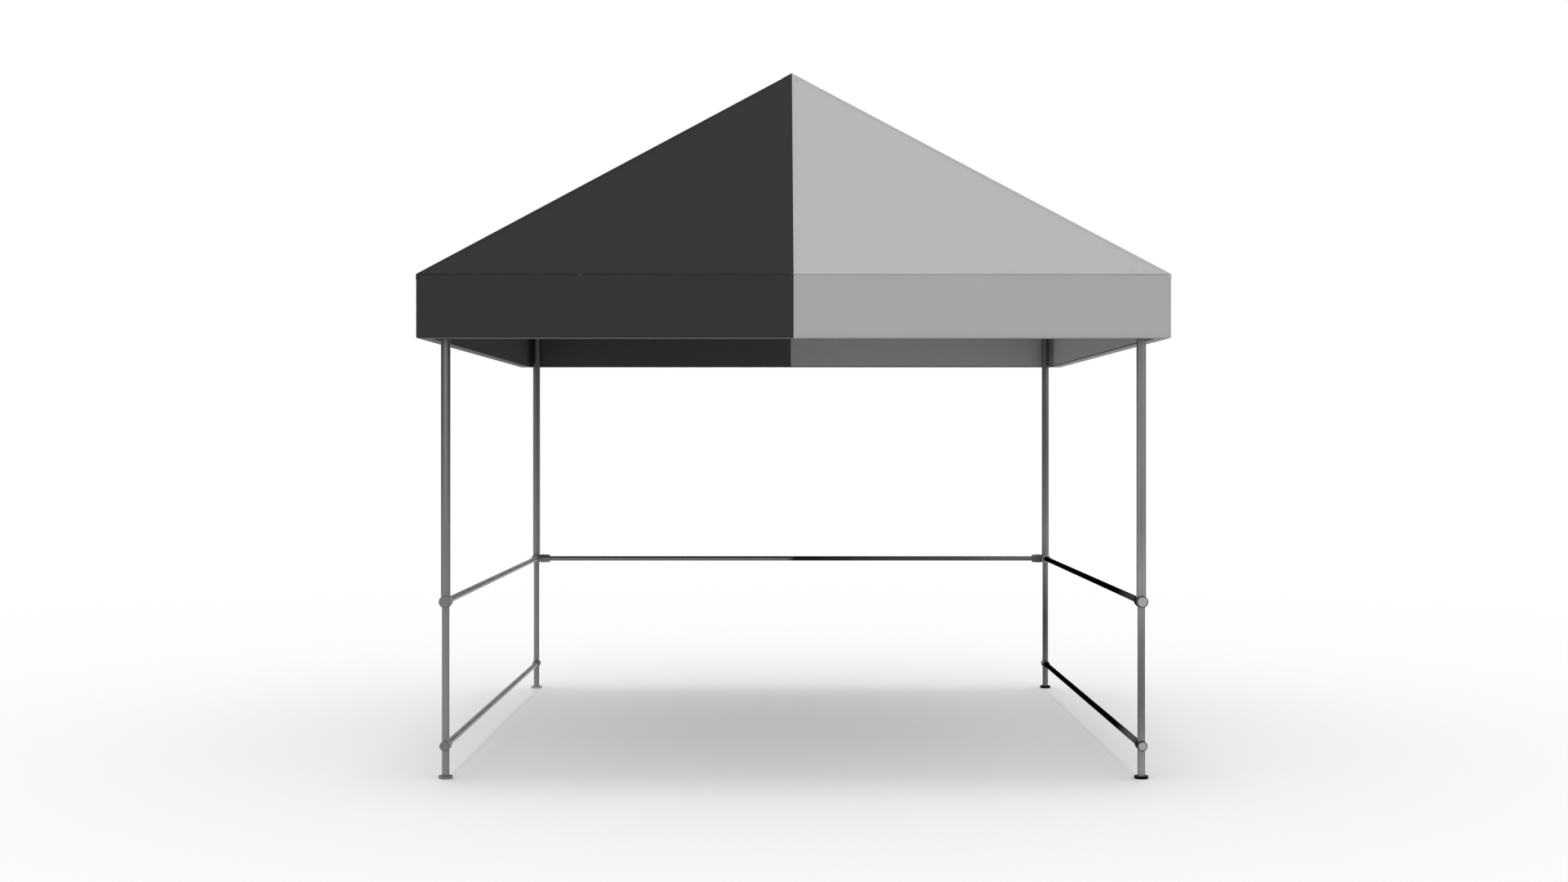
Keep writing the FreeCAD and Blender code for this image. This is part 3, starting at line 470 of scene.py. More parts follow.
def metal_material(name, grey, along, rough, streak=0.10, wear=0.03, edge=0.0, metallic=0.85,
                   specular=0.5, turn=None, by_place=(), by_normal=None, by_facing=None,
                   fade=None):
    """Satin metal with drawing streaks and light handling marks.

    along: axis of the streaks, after the rotation turn; wear: strength of the marks;
    edge: painted dark rim at grazing view. The colour is multiplied by curves that paint
    light and shade: by_place holds (axis, stops) pairs, by_normal is (direction, stops),
    by_facing is stops. fade limits the last two along an axis.
    """
    shader = Shader(name)
    place = shader.place()
    turned = place if turn is None else shader.mapping(place, rotation=turn)
    fine_scale = streak_scale(along, lengthwise=3.0, crosswise=900.0, even=260.0)
    wide_scale = streak_scale(along, lengthwise=1.2, crosswise=120.0, even=40.0)
    fine = shader.noise(shader.mapping(turned, scale=fine_scale), scale=1.0, detail=2.0)
    wide = shader.noise(shader.mapping(turned, scale=wide_scale), scale=1.0, detail=3.0)
    patch = shader.noise(turned, scale=9.0, detail=5.0, rough=0.6)
    spots = shader.noise(turned, scale=75.0, detail=6.0, rough=0.7)
    marks = shader.blend(spots, 0.0, 1.0, start=0.60, end=0.72)
    dark, light = grey * (1 - streak), grey * (1 + streak)
    colour = shader.blend(wide, dark, light)
    colour = shader.mix(0.35, colour, shader.blend(fine, dark, light))
    patches = shader.blend(patch, grey * 0.85, grey * 1.15, start=0.35, end=0.65)
    colour = shader.mix(0.25, colour, patches)
    bright = min(1.0, grey * 2.2 + 0.05)
    colour = shader.mix(shader.math("MULTIPLY", marks, wear), colour, bright)
    # painted shade: dark rim where the metal is seen at a grazing angle
    if edge > 0:
        grazing = shader.blend(shader.facing(), 0.0, 1.0, start=0.55, end=0.92)
        colour = shader.mix(shader.math("MULTIPLY", grazing, edge), colour, grey * 0.15)
    # curves of painted light and shade by place, slope and view angle
    for axis, stops in by_place:
        low, high = min(p for p, f in stops), max(p for p, f in stops)
        factor = shader.curve(shader.axes(place)["xyz".index(axis)], stops, low, high)
        colour = shader.tint(colour, factor)
    if by_normal is not None:
        direction, stops = by_normal
        factor = shader.curve(shader.toward(direction), stops, -1.0, 1.0)
        colour = shader.tint(colour, shader.fade(factor, place, fade))
    if by_facing is not None:
        factor = shader.curve(shader.facing(), by_facing)
        colour = shader.tint(colour, shader.fade(factor, place, fade))
    normal = shader.bump(fine, strength=0.06, distance=0.0002)
    pits = shader.noise(turned, scale=420.0, detail=2.0)
    normal = shader.bump(pits, strength=0.04, distance=0.0002, normal=normal)
    return shader.finish(
        colour, normal=normal, metallic=metallic, specular=specular,
        roughness=shader.blend(patch, rough - 0.07, rough + 0.07))


def black_rail_painted_glint_material(name, grey, inward):
    """Black satin powder coat with a painted reflection at the front end, where it
    faces the inward direction."""
    shader = Shader(name)
    place = shader.place()
    front = shader.map_range(shader.axes(place)[1], -0.86, -1.20,
                             interpolation_type="SMOOTHSTEP")
    peel = shader.noise(place, scale=900.0, detail=2.0)
    patch = shader.noise(place, scale=30.0, detail=5.0, rough=0.65)
    stretched = shader.mapping(place, scale=(220.0, 45.0, 220.0))
    grain = shader.noise(stretched, scale=1.0, detail=4.0, rough=0.7)
    # painted reflection: brightest where the surface faces inward, at the front end
    glint_facing = shader.blend(shader.toward(inward), 0.10, 1.0, start=0.42, end=0.80)
    grained = shader.blend(grain, 0.35, 1.0, start=0.34, end=0.66)
    bright = shader.math("MULTIPLY", shader.math("MULTIPLY", front, grained), glint_facing)
    colour = shader.mix(bright, shader.blend(patch, 0.0008, 0.0022), grey)
    return shader.finish(colour, roughness=0.85, specular=0.0,
                         normal=shader.bump(peel, strength=0.10, distance=0.0002))


def knob_material(name, face, rim, radius, height, metallic):
    """Turned disc at a height on a leg: lathe rings on the face, and a rim.

    face and rim are greys.
    """
    shader = Shader(name)
    place = shader.place()
    axes = shader.axes(place)
    dx = shader.math("SUBTRACT", shader.math("ABSOLUTE", axes[0]), LEG)
    dz = shader.math("SUBTRACT", axes[2], height)
    squares = [shader.math("MULTIPLY", d, d) for d in (dx, dz)]
    r = shader.math("SQRT", shader.math("ADD", *squares))
    inside = shader.curve(r, [(radius - 0.0050, 1.0), (radius - 0.0036, 0.0)], 0.0, radius)
    normal_axes = shader.axes(shader.node("NewGeometry").outputs["True Normal"])
    flat = shader.blend(shader.math("ABSOLUTE", normal_axes[1]), 0.0, 1.0, start=0.80, end=0.97)
    inside = shader.math("MULTIPLY", inside, flat)
    ring_pitch = 0.0006
    lathe = shader.math("SINE", shader.math("MULTIPLY", r, math.tau / ring_pitch))
    mottle = shader.noise(place, scale=420.0, detail=3.0)
    patch = shader.noise(place, scale=110.0, detail=4.0)
    face_colour = shader.mix(mottle, face * 0.90, face * 1.10)
    patches = shader.blend(patch, face * 0.86, face * 1.14)
    face_colour = shader.mix(0.3, face_colour, patches)
    rim_colour = shader.mix(mottle, rim * 0.85, rim * 1.15)
    normal = shader.bump(mottle, strength=0.10, distance=0.0002)
    rings = shader.math("MULTIPLY", lathe, inside)
    normal = shader.bump(rings, strength=0.12, distance=0.0001, normal=normal)
    return shader.finish(shader.mix(inside, rim_colour, face_colour), roughness=0.5,
                         normal=normal, specular=0.2, metallic=metallic)


def plastic_material(name, grey, rough):
    shader = Shader(name)
    place = shader.place()
    grain = shader.noise(place, scale=700.0, detail=2.0)
    patch = shader.noise(place, scale=25.0, detail=4.0)
    return shader.finish(
        shader.blend(patch, grey * 0.85, grey * 1.2),
        roughness=shader.blend(grain, rough - 0.06, rough + 0.06),
        normal=shader.bump(grain, strength=0.12, distance=0.0002))


# roof and valance are one cloth; their greys differ as painted light and shade: the charcoal roof
# is darker than its valance to offset the sun on it, the light roof brighter than its valance
ROOF = cloth_pair("roof_cloth", charcoal=0.0360, light=0.497)
VALANCE = cloth_pair("valance_cloth", charcoal=0.0450, light=0.477)
# lining greys are painted light and shade for the shaded inner face: lighter than the valance on
# the charcoal half, darker than it on the light half
LINING = cloth_pair("lining", charcoal=0.068, light=0.375)
TAPE = {"left": webbing_material("hem_tape_dark", 0.13),
        "right": webbing_material("hem_tape_light", 0.34)}
THREAD = {"left": cloth_material("thread_dark", 0.090, specular=0.35, pitch=0.0004),
          "right": cloth_material("thread_light", 0.30, specular=0.35, pitch=0.0004)}
# painted shade: a black cord put where there is only the shadow gap along the inner lower edge of
# the valance
SHADOW_LINE_PIPING = plastic_material("shadow_line_piping_black", 0.006, rough=0.7)

# Painted light and shade on the legs by height: (z, factor)
LEFT_LEGS_PAINTED_LIGHT_BY_Z = [
    (0.0, 1.64), (0.30, 1.54), (0.55, 1.44), (0.78, 1.32), (0.95, 1.22), (1.16, 1.06),
    (1.39, 0.90), (1.60, 0.80), (2.0, 0.78)]
FRONT_RIGHT_LEG_PAINTED_LIGHT_BY_Z = [
    (0.0, 1.95), (0.12, 1.50), (0.20, 1.10), (0.31, 0.90), (0.44, 0.95), (0.57, 1.14),
    (0.69, 1.50), (0.78, 1.70), (0.90, 1.50), (1.03, 1.36), (1.39, 1.25), (2.0, 1.15)]
BACK_RIGHT_LEG_PAINTED_LIGHT_BY_Z = [
    (0.0, 0.95), (0.15, 0.80), (0.28, 0.55), (0.38, 0.45), (0.50, 0.66), (0.70, 1.05),
    (0.86, 1.15), (1.09, 0.88), (1.31, 0.68), (1.50, 0.72), (1.74, 0.85), (2.0, 0.85)]
# Painted highlight and dark edges by view angle: (0 face on to 1 grazing, factor)
FRONT_LEFT_LEG_PAINTED_HIGHLIGHT_BY_FACING = [(0.0, 1.75), (0.035, 1.35), (0.09, 0.72), (0.45, 0.62), (1.0, 0.60)]
RIGHT_LEGS_PAINTED_HIGHLIGHT_BY_FACING = [
    (0.0, 0.86), (0.03, 1.06), (0.10, 1.18), (0.28, 1.0), (0.50, 0.72), (1.0, 0.55)]
# Painted light and shade by slope, such as a painted dark reflection stripe along the rails and
# lit or shaded tops of fittings and feet: (dot product of normal and a direction, factor)
LEFT_RAILS_PAINTED_LIGHT_BY_NORMAL = [
    (-1.0, 3.4), (-0.70, 3.0), (-0.48, 2.1), (-0.28, 1.2), (-0.16, 0.45), (-0.06, 0.16),
    (0.10, 0.16), (0.24, 0.85), (0.50, 1.28), (1.0, 1.35)]
BACK_RAIL_PAINTED_LIGHT_BY_NORMAL = [
    (-1.0, 1.45), (-0.6, 1.35), (0.0, 1.45), (0.20, 1.1), (0.45, 0.34), (0.8, 0.12),
    (1.0, 0.10)]
BACK_LEFT_FITTING_PAINTED_LIGHT_BY_NORMAL = [
    (-1.0, 2.1), (-0.7, 1.9), (-0.35, 1.35), (0.05, 1.20), (0.35, 0.50), (0.75, 0.20),
    (1.0, 0.18)]
STEEL_FOOT_PAINTED_LIGHT_BY_NORMAL = [(-1.0, 1.05), (0.15, 1.05), (0.35, 0.40), (1.0, 0.36)]
FRONT_BLACK_FOOT_PAINTED_LIGHT_BY_NORMAL = [(-1.0, 0.2), (0.5, 0.2), (0.8, 3.4), (1.0, 3.6)]
BACK_BLACK_FOOT_PAINTED_LIGHT_BY_NORMAL = [(-1.0, 0.2), (0.5, 0.2), (0.8, 1.0), (1.0, 1.2)]
# Painted shade along the back rail, darkest just right of the middle: (x, factor)
BACK_RAIL_PAINTED_SHADE_BY_X = [
    (-1.4, 1.0), (-0.02, 1.0), (0.02, 0.05), (0.12, 0.09), (0.24, 0.20), (0.60, 0.52),
    (0.95, 0.68), (1.13, 1.0), (1.4, 1.05)]
# Painted shade bands across the back right fitting (x, factor), and a painted
# highlight at its front (y, factor)
BACK_RIGHT_FITTING_PAINTED_SHADE_BY_X = [
    (1.3275, 1.0), (1.3530, 1.0), (1.3534, 0.50), (1.3580, 0.50), (1.3584, 1.05),
    (1.3660, 1.05), (1.3664, 0.55), (1.3712, 0.55), (1.3716, 1.0), (1.3755, 0.8),
    (1.3800, 0.8)]
BACK_RIGHT_FITTING_PAINTED_HIGHLIGHT_BY_Y = [(1.3595, 3.4), (1.3642, 3.4), (1.3650, 1.0), (1.3700, 1.0)]

UP = (0.0, 0.0, 1.0)
STEEL = 0.185                           # grey of the legs and left rails
EVEN_STEEL = dict(rough=0.5, streak=0.05, wear=0.05)
BLACK_FOOT = dict(along="all", metallic=0.0, rough=0.8, streak=0.2, specular=0.0)

# four copies of one steel tube, each with its own painted light and shade; edge adds a painted
# dark rim at grazing view on the right legs
LEG_TUBE_PAINTED_LIGHT = {
    "front_left": metal_material(
        "tube_front_left", STEEL, "z", rough=0.5, streak=0.07, wear=0.05,
        by_place=[("z", LEFT_LEGS_PAINTED_LIGHT_BY_Z)], by_facing=FRONT_LEFT_LEG_PAINTED_HIGHLIGHT_BY_FACING,
        fade=("z", 0.95, 1.60)),
    "back_left": metal_material(
        "tube_back_left", STEEL, "z", by_place=[("z", LEFT_LEGS_PAINTED_LIGHT_BY_Z)], **EVEN_STEEL),
    "front_right": metal_material(
        "tube_front_right", STEEL, "z", rough=0.38, streak=0.24, edge=0.35, wear=0.12,
        by_place=[("z", FRONT_RIGHT_LEG_PAINTED_LIGHT_BY_Z)], by_facing=RIGHT_LEGS_PAINTED_HIGHLIGHT_BY_FACING),
    "back_right": metal_material(
        "tube_back_right", STEEL, "z", rough=0.38, streak=0.22, edge=0.45, wear=0.10,
        by_place=[("z", BACK_RIGHT_LEG_PAINTED_LIGHT_BY_Z)], by_facing=RIGHT_LEGS_PAINTED_HIGHLIGHT_BY_FACING),
}
LEFT_RAIL = {
    level: metal_material("rail_left_" + level, STEEL, "y",
                          by_normal=(direction, LEFT_RAILS_PAINTED_LIGHT_BY_NORMAL), **EVEN_STEEL)
    for level, direction in (("mid", (-0.428, 0.0, 0.904)), ("low", (-0.669, 0.0, 0.743)))
}
BACK_RAIL = metal_material(
    "rail_back", STEEL, "x", rough=0.5, streak=0.10, wear=0.05,
    by_place=[("x", BACK_RAIL_PAINTED_SHADE_BY_X)], by_normal=(UP, BACK_RAIL_PAINTED_LIGHT_BY_NORMAL),
    fade=("x", 0.01, -0.03))
# four copies of one fitting toned as painted light and shade: the front left lighter, the front
# right near black for its shaded side, the back ones with painted light curves
FITTING = {
    "front_left": metal_material("fitting_front_left", 0.28, "y", **EVEN_STEEL),
    "back_left": metal_material(
        "fitting_back_left", STEEL, "x", by_normal=(UP, BACK_LEFT_FITTING_PAINTED_LIGHT_BY_NORMAL),
        **EVEN_STEEL),
    "front_right": metal_material(
        "fitting_front_right", 0.020, "y", metallic=0.0, rough=0.7, streak=0.25, wear=0.10,
        specular=0.0),
    "back_right": metal_material(
        "fitting_back_right", 0.125, "x", rough=0.45, streak=0.10, wear=0.10,
        by_place=[("y", BACK_RIGHT_FITTING_PAINTED_HIGHLIGHT_BY_Y), ("x", BACK_RIGHT_FITTING_PAINTED_SHADE_BY_X)]),
}
RIGHT_RAIL = {
    "mid": black_rail_painted_glint_material("rail_powder_coat_mid", grey=0.085, inward=(-0.912, 0.0, 0.410)),
    "low": black_rail_painted_glint_material("rail_powder_coat_low", grey=0.17, inward=(-0.761, 0.0, 0.648)),
}
# feet get painted light and shade: lit or shaded tops by slope, and the back left steel foot
# brighter than the front one
FOOT = {
    "front_left": metal_material("foot_steel_front", 0.26, "all", rough=0.45, streak=0.05,
                                 by_normal=(UP, STEEL_FOOT_PAINTED_LIGHT_BY_NORMAL)),
    "back_left": metal_material("foot_steel_back", 0.42, "all", rough=0.45, streak=0.05),
    "front_right": metal_material("foot_black_front", 0.030,
                                  by_normal=(UP, FRONT_BLACK_FOOT_PAINTED_LIGHT_BY_NORMAL), **BLACK_FOOT),
    "back_right": metal_material("foot_black_back", 0.030,
                                 by_normal=(UP, BACK_BLACK_FOOT_PAINTED_LIGHT_BY_NORMAL), **BLACK_FOOT),
}
KNOB = {}
for level in ("mid", "low"):
    knob_low, knob_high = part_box("front_right_%s_knob" % level)
    size = dict(radius=(knob_high.z - knob_low.z) / 2, height=(knob_high.z + knob_low.z) / 2)
    # the two knob copies are one part toned as painted light for each half; the near black rim of
    # the right ones is painted shade
    KNOB["left", level] = knob_material(
        "knob_grey_" + level, face=0.230, rim=0.205, metallic=0.6, **size)
    KNOB["right", level] = knob_material(
        "knob_light_" + level, face=0.44, rim=0.050, metallic=0.2, **size)
CAST = metal_material("cast_aluminium_satin", 0.42, "all", rough=0.55, streak=0.12)
ALUMINIUM = {axis: metal_material("frame_aluminium_" + axis, 0.50, axis, rough=0.40, streak=0.08)
             for axis in "xyz"}
NYLON = plastic_material("nylon_black_moulded", 0.02, rough=0.5)
SCREW = metal_material("screw_steel_bright", 0.35, "all", rough=0.3)


def rafter_material(node):
    """Aluminium whose streaks run up one rafter."""
    yaw = math.atan2(-1 if "front" in node else 1, -1 if "left" in node else 1)
    pitch = math.atan2(RISE, HALF * math.sqrt(2))
    return metal_material("rafter_aluminium_" + node[:-7], 0.50, "x", rough=0.40, streak=0.08,
                          turn=(0.0, -pitch, -yaw))


def node_material(node):
    """Material of a CAD piece by its name, or None to leave it alone."""
    side = "left" if "left" in node else "right"
    level = "mid" if "_mid_" in node else "low"
    corner = "_".join(node.split("_")[:2])
    if node.endswith("_leg"):
        return LEG_TUBE_PAINTED_LIGHT[corner]
    if node.endswith("_fitting"):
        return FITTING[corner]
    if node.endswith("_rail"):
        if node.startswith("back"):
            return BACK_RAIL
        return (LEFT_RAIL if side == "left" else RIGHT_RAIL)[level]
    if node.endswith("_knob"):
        return KNOB[side, level]
    if node.endswith("_foot"):
        return FOOT[corner]
    if node.endswith("_casting") or node == "crown_hub":
        return CAST
    if node.endswith("_rafter"):
        return rafter_material(node)
    if node.endswith("_valance_frame"):
        return ALUMINIUM["x" if node.startswith(("front", "back")) else "y"]
    if "screws" in node or node == "leg_height_stops":
        return SCREW
    if node in ("peak_pad", "valance_elbows", "leg_bushes") or node.endswith("_caps"):
        return NYLON
    return None


for node in NODES:
    material = node_material(node)
    if material is not None:
        slots = NODES[node].data.materials
        slots.clear()
        slots.append(material)


# ---------------------------------------------------------------- stitches
class Thread:
    """Collects single stitches, later one mesh a side."""
    WIDTH = 0.0007
    HEIGHT = 0.00045
    SINK = 0.0002                       # depth of the ends in the cloth
    FACES = ((0, 2, 1), (0, 3, 2), (0, 4, 3), (0, 1, 4),
             (5, 1, 2), (5, 2, 3), (5, 3, 4), (5, 4, 1))

    def __init__(self):
        self.verts, self.faces, self.uvs = [], [], []

    def row(self, points, normal, pitch=0.0055, length=0.0040):
        """Even stitches along a line of points on cloth with one normal."""
        points = [Vector(p) for p in points]
        up = Vector(normal).normalized()
        total = sum((q - p).length for p, q in zip(points, points[1:]))
        count = int(total / pitch)
        piece, piece_start = 0, 0.0
        piece_length = (points[1] - points[0]).length
        for k in range(count):
            s = (k + 0.5) * total / count
            while piece < len(points) - 2 and s > piece_start + piece_length:
                piece_start += piece_length
                piece += 1
                piece_length = (points[piece + 1] - points[piece]).length
            fraction = (s - piece_start) / max(piece_length, 1e-9)
            self.stitch(points[piece].lerp(points[piece + 1], fraction),
                        (points[piece + 1] - points[piece]).normalized(), up, s, length)

    def stitch(self, middle, along, up, s, length):
        """One stitch, s metres along its row."""
        across = along.cross(up).normalized()
        first = len(self.verts)
        end = along * (length / 2)
        flank = across * self.WIDTH / 2
        shoulder = up * self.HEIGHT * 0.35
        sink = up * self.SINK
        for offset in (-end - sink, shoulder - flank, up * self.HEIGHT, shoulder + flank,
                       -sink, end - sink):
            self.verts.append(tuple(middle + offset))
            self.uvs.append((s + offset.dot(along), offset.dot(across)))
        self.faces += [tuple(first + i for i in face) for face in self.FACES]


THREADS = {side: Thread() for side in SIDES}
SEAMS = {side: [] for side in SIDES}    # sewn-on pieces, joined at the end


def stitch_between(side, inner, outer, fractions, normal, lift, ends=True):
    """Rows of stitches along a strip, at fractions of its width."""
    for fraction in fractions:
        row = [Vector(p).lerp(Vector(q), fraction) + normal * lift
               for p, q in zip(inner, outer)]
        THREADS[side].row(row if ends else row[1:-1], normal)


# ------------------------------------------------------------- roof cloth
ROOF_ROWS = 56
ROOF_COLUMNS = 44                       # across a whole panel
SAG = 0.012
FOLD_HEIGHT = 0.0008
FOLD_RATE = 26.0                        # folds per radian round a corner, times 2 pi


def roof_point(face, t, v, lift=0.0):
    """Point on a roof panel: t runs 0 at the eave to 1 at the peak, v 0 to 1
    across the whole triangle."""
    reach = HALF * (1 - t)
    across = (2 * v - 1) * reach
    offset = -SAG * 27.0 * t * (1 - t) ** 2 * v * (1 - v)
    # shallow tension folds fan out of the two eave corners
    for corner in (-1, 1):
        dx, dz = across - corner * HALF, HALF * t * SLOPE
        d = math.hypot(dx, dz)
        if d > 1e-6:
            strength = math.exp(-d / 0.40) * (1 - math.exp(-d / 0.05))
            fan = math.sin(math.atan2(dz, abs(dx)) * FOLD_RATE)
            offset += FOLD_HEIGHT * strength * fan * min(1.0, v * (1 - v) * 40.0)
    offset += lift
    slant = math.hypot(RISE, HALF)
    return on_face(face, across, reach + offset * RISE / slant,
                   EAVE + RISE * t + offset * HALF / slant)


def v_range(face, side):
    """The part of a panel that belongs to one side's cloth."""
    if face in SIDES:
        return 0.0, 1.0
    return (0.0, 0.5) if side == "left" else (0.5, 1.0)


def roof_skin(name, side, rows, columns, mats, merge, thickness, lifts=None):
    """Cloth over one half of the roof, or the top of it.

    rows: t of each row; columns: count on the side panel and on a half panel;
    lifts: rise of each row in z.
    """
    verts, uvs, faces = [], [], []
    for face in (side, "front", "back"):
        count = columns[0] if face == side else columns[1]
        first = len(verts)
        for r, t in enumerate(rows):
            for v in steps(*v_range(face, side), count):
                p = Vector(roof_point(face, t, v))
                if lifts:
                    p.z += lifts[r]
                verts.append(p)
                uvs.append(((2 * v - 1) * HALF * (1 - t), HALF * t * SLOPE))
        faces += [tuple(first + i for i in quad) for quad in grid(len(rows), count + 1)]
    obj = make_object(name, verts, faces, uvs, mats)
    weld(obj, merge)
    face_up(obj)
    thicken(obj, thickness)
    sharp_by_angle(obj, 25)
    return obj


def roof_sheet(side):
    rows = steps(0.0, 1.0, ROOF_ROWS)
    rows[0] = 0.0006                    # just clear of the valance
    sheet = roof_skin("roof_sheet_" + side, side, rows, (ROOF_COLUMNS, ROOF_COLUMNS // 2),
                      [ROOF[side], LINING[side]], merge=2e-6, thickness=0.0014)
    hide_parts("roof_cover_" + side)
    hang(sheet)


def peak_cap(side):
    """Doubled cloth over the peak, one half a colour."""
    start = 0.962
    lifts = [0.0012, 0.0022, 0.0030] + [0.0034] * 6
    SEAMS[side].append(roof_skin("cap", side, steps(start, 1, 8), (12, 12), [ROOF[side]],
                                 merge=1e-5, thickness=0.0012, lifts=lifts))
    for face in (side, "front", "back"):
        a, b = v_range(face, side)
        for t in (start + 0.0035, start + 0.0080):
            row = [Vector(roof_point(face, t, a + (b - a) * f)) + Vector((0, 0, 0.0024))
                   for f in steps(0.03, 0.97, 20)]
            THREADS[side].row(row, PANEL_NORMAL[face])


def corner_patch(face, corner, side):
    """Triangle of cloth inside a roof corner (-1 or 1 across the panel), sewn
    through in two rows."""
    n = 14
    eave_length = 0.17
    hip = Vector((1.0, SLOPE)).normalized() * 0.19

    def spot(along_eave, along_hip):
        """Fractions of the two edges to (across, height up the slope, t, v)."""
        inset = 0.006 + along_eave * eave_length + along_hip * hip.x
        height = 0.002 + along_hip * hip.y
        t = height / (HALF * SLOPE)
        across = corner * (HALF - inset)
        return across, height, t, (across / (HALF * (1 - t)) + 1) / 2

    verts, uvs, faces, index = [], [], [], {}
    for i in range(n + 1):
        for j in range(n + 1 - i):
            across, height, t, v = spot(i / n, j / n)
            index[i, j] = len(verts)
            verts.append(roof_point(face, t, v, -0.0017))
            # cut on the bias: the weave lies at 45 degrees
            uvs.append((across * 0.7071 + height * 0.7071, height * 0.7071 - across * 0.7071))
    for i in range(n):
        for j in range(n - i):
            faces.append((index[i, j], index[i + 1, j], index[i, j + 1]))
            if j < n - i - 1:
                faces.append((index[i + 1, j], index[i + 1, j + 1], index[i, j + 1]))
    obj = make_object("patch", verts, faces, uvs, [LINING[side]])
    face_up(obj)
    thicken(obj, 0.0010)
    SEAMS[side].append(obj)
    for inset in (0.95, 0.86):
        spots = [spot(inset * k / 40.0, inset * (40 - k) / 40.0) for k in range(1, 40)]
        THREADS[side].row([roof_point(face, t, v, 0.0007) for _, _, t, v in spots],
                          PANEL_NORMAL[face])


# -------------------------------------------------------------- hip welts
WELT_BAND = 0.013                       # lap on to each panel
# The welt's lower end, down the corner of the valance: (drop below the eave, lap)
WELT_END = [(0.0215, 0.0110), (0.0200, 0.0125), (0.0130, WELT_BAND), (0.0060, WELT_BAND),
            (0.0015, WELT_BAND)]


def hip_direction(sx, sy):
    return Vector((-sx * HALF, -sy * HALF, RISE)).normalized()


def welt_loop(fold, laps, band, lift, under):
    """Section of a welt folded over an edge; laps are two (direction, normal)."""
    profile = ((band, -0.0004), (band, 0.0007), (band - 0.0012, lift), (band * 0.5, lift),
               (0.002, lift + 0.0001))
    first, second = [[fold + direction * out + normal * up for out, up in profile]
                     for direction, normal in laps]
    middle = (laps[0][1] + laps[1][1]).normalized()
    return first + [fold + middle * 0.0016] + second[::-1] + [fold - middle * under]


def hip_welt(side, end):
    """Folded welt from the corner of the valance up the hip to the peak."""
    sx, sy = SIDES[side], ENDS[end]
    thread = THREADS[side]
    laps = [(-OUTWARD[end], OUTWARD[side]), (-OUTWARD[side], OUTWARD[end])]
    loops = []
    for drop, band in WELT_END:
        corner = Vector((sx * OUTER, sy * OUTER, EAVE - drop))
        loops.append(welt_loop(corner, laps, band, lift=0.0012, under=0.0008))
    z = EAVE - 0.0165
    row_ends = (HALF - 0.0110, HALF - 0.0015)
    short = dict(pitch=0.0036, length=0.0028)
    thread.row([(sx * d, sy * WELT_LIMIT, z) for d in row_ends], OUTWARD[end], **short)
    thread.row([(sx * WELT_LIMIT, sy * d, z) for d in row_ends], OUTWARD[side], **short)

    # directions lying in each panel, square to the hip and away from it
    hip_dir = hip_direction(sx, sy)
    laps = []
    for normal, inward in ((PANEL_NORMAL[side], laps_in(end)), (PANEL_NORMAL[end], laps_in(side))):
        direction = hip_dir.cross(normal)
        if direction.dot(inward) < 0:
            direction = -direction
        laps.append((direction, normal))
    lift = 0.0013
    row_places = (12, 4)                # stitch rows, in thirteenths of the lap
    rows = {(place, lap): [] for place in row_places for lap in (0, 1)}
    for t in steps(0.0008, 0.9915, 60):
        reach = HALF * (1 - t)
        fold = Vector((sx * reach, sy * reach, EAVE + RISE * t))
        band = min(WELT_BAND, reach * 0.9)
        loops.append([
            (max(-WELT_LIMIT, min(WELT_LIMIT, p.x)), max(-WELT_LIMIT, min(WELT_LIMIT, p.y)), p.z)
            for p in welt_loop(fold, laps, band, lift, under=0.0006)])
        for (place, lap), row in rows.items():
            direction, normal = laps[lap]
            row.append(fold + direction * (band * place / 13.0) * 0.85 + normal * lift)
    SEAMS[side].append(sweep("hip_welt_%s_%s" % (end, side), loops, ROOF[side]))
    for (place, lap), row in rows.items():
        thread.row(row[1:-1], laps[lap][1])


def laps_in(face):
    """Direction from a face towards the middle."""
    return -OUTWARD[face]


def eave_hem(side, face):
    normal = PANEL_NORMAL[face]
    low, high = 0.0009, 0.0009 + 0.020 / (HALF * SLOPE)
    places = steps(*v_range(face, side), 60)
    lower = [roof_point(face, low, v) for v in places]
    upper = [roof_point(face, high, v) for v in places]
    name = "eave_hem_%s_%s" % (face, side)
    SEAMS[side].append(strip(name, lower, upper, normal, 0.0008, ROOF[side]))
    stitch_between(side, lower, upper, (0.22, 0.80), normal, 0.0008, ends=face != side)


def centre_seam(side, face):
    """Seam between the two colours up an end panel, with a flat tape inside."""
    sx = SIDES[side]
    normal = PANEL_NORMAL[face]
    edge, far = [], []
    for t in steps(0.016, 0.975, 60):
        reach = HALF * (1 - t)
        width = min(0.011, reach * 0.3)
        edge.append(roof_point(face, t, 0.5 + sx * 0.0004 / (2 * reach)))
        far.append(roof_point(face, t, 0.5 + sx * width / (2 * reach)))
    seam = strip("centre_seam_%s_%s" % (face, side), edge, far, normal, 0.0008, ROOF[side])
    SEAMS[side].append(seam)
    stitch_between(side, edge, far, (0.25, 0.78), normal, 0.0008)
    under = [Vector(p) - normal * 0.0016 for p in edge]
    under_far = [Vector(p) - normal * 0.0016 for p in far]
    tape = strip("centre_tape_%s_%s" % (face, side), under, under_far, -normal, 0.0008,
                 LINING[side])
    SEAMS[side].append(tape)


for side in SIDES:
    roof_sheet(side)

for side, sx in SIDES.items():
    peak_cap(side)
    for corner in (-1, 1):
        corner_patch(side, corner, side)
    for end in ENDS:
        corner_patch(end, sx, side)
    for end in ENDS:
        hip_welt(side, end)
    for face in (side, "front", "back"):
        eave_hem(side, face)
        if face in ENDS:
            centre_seam(side, face)


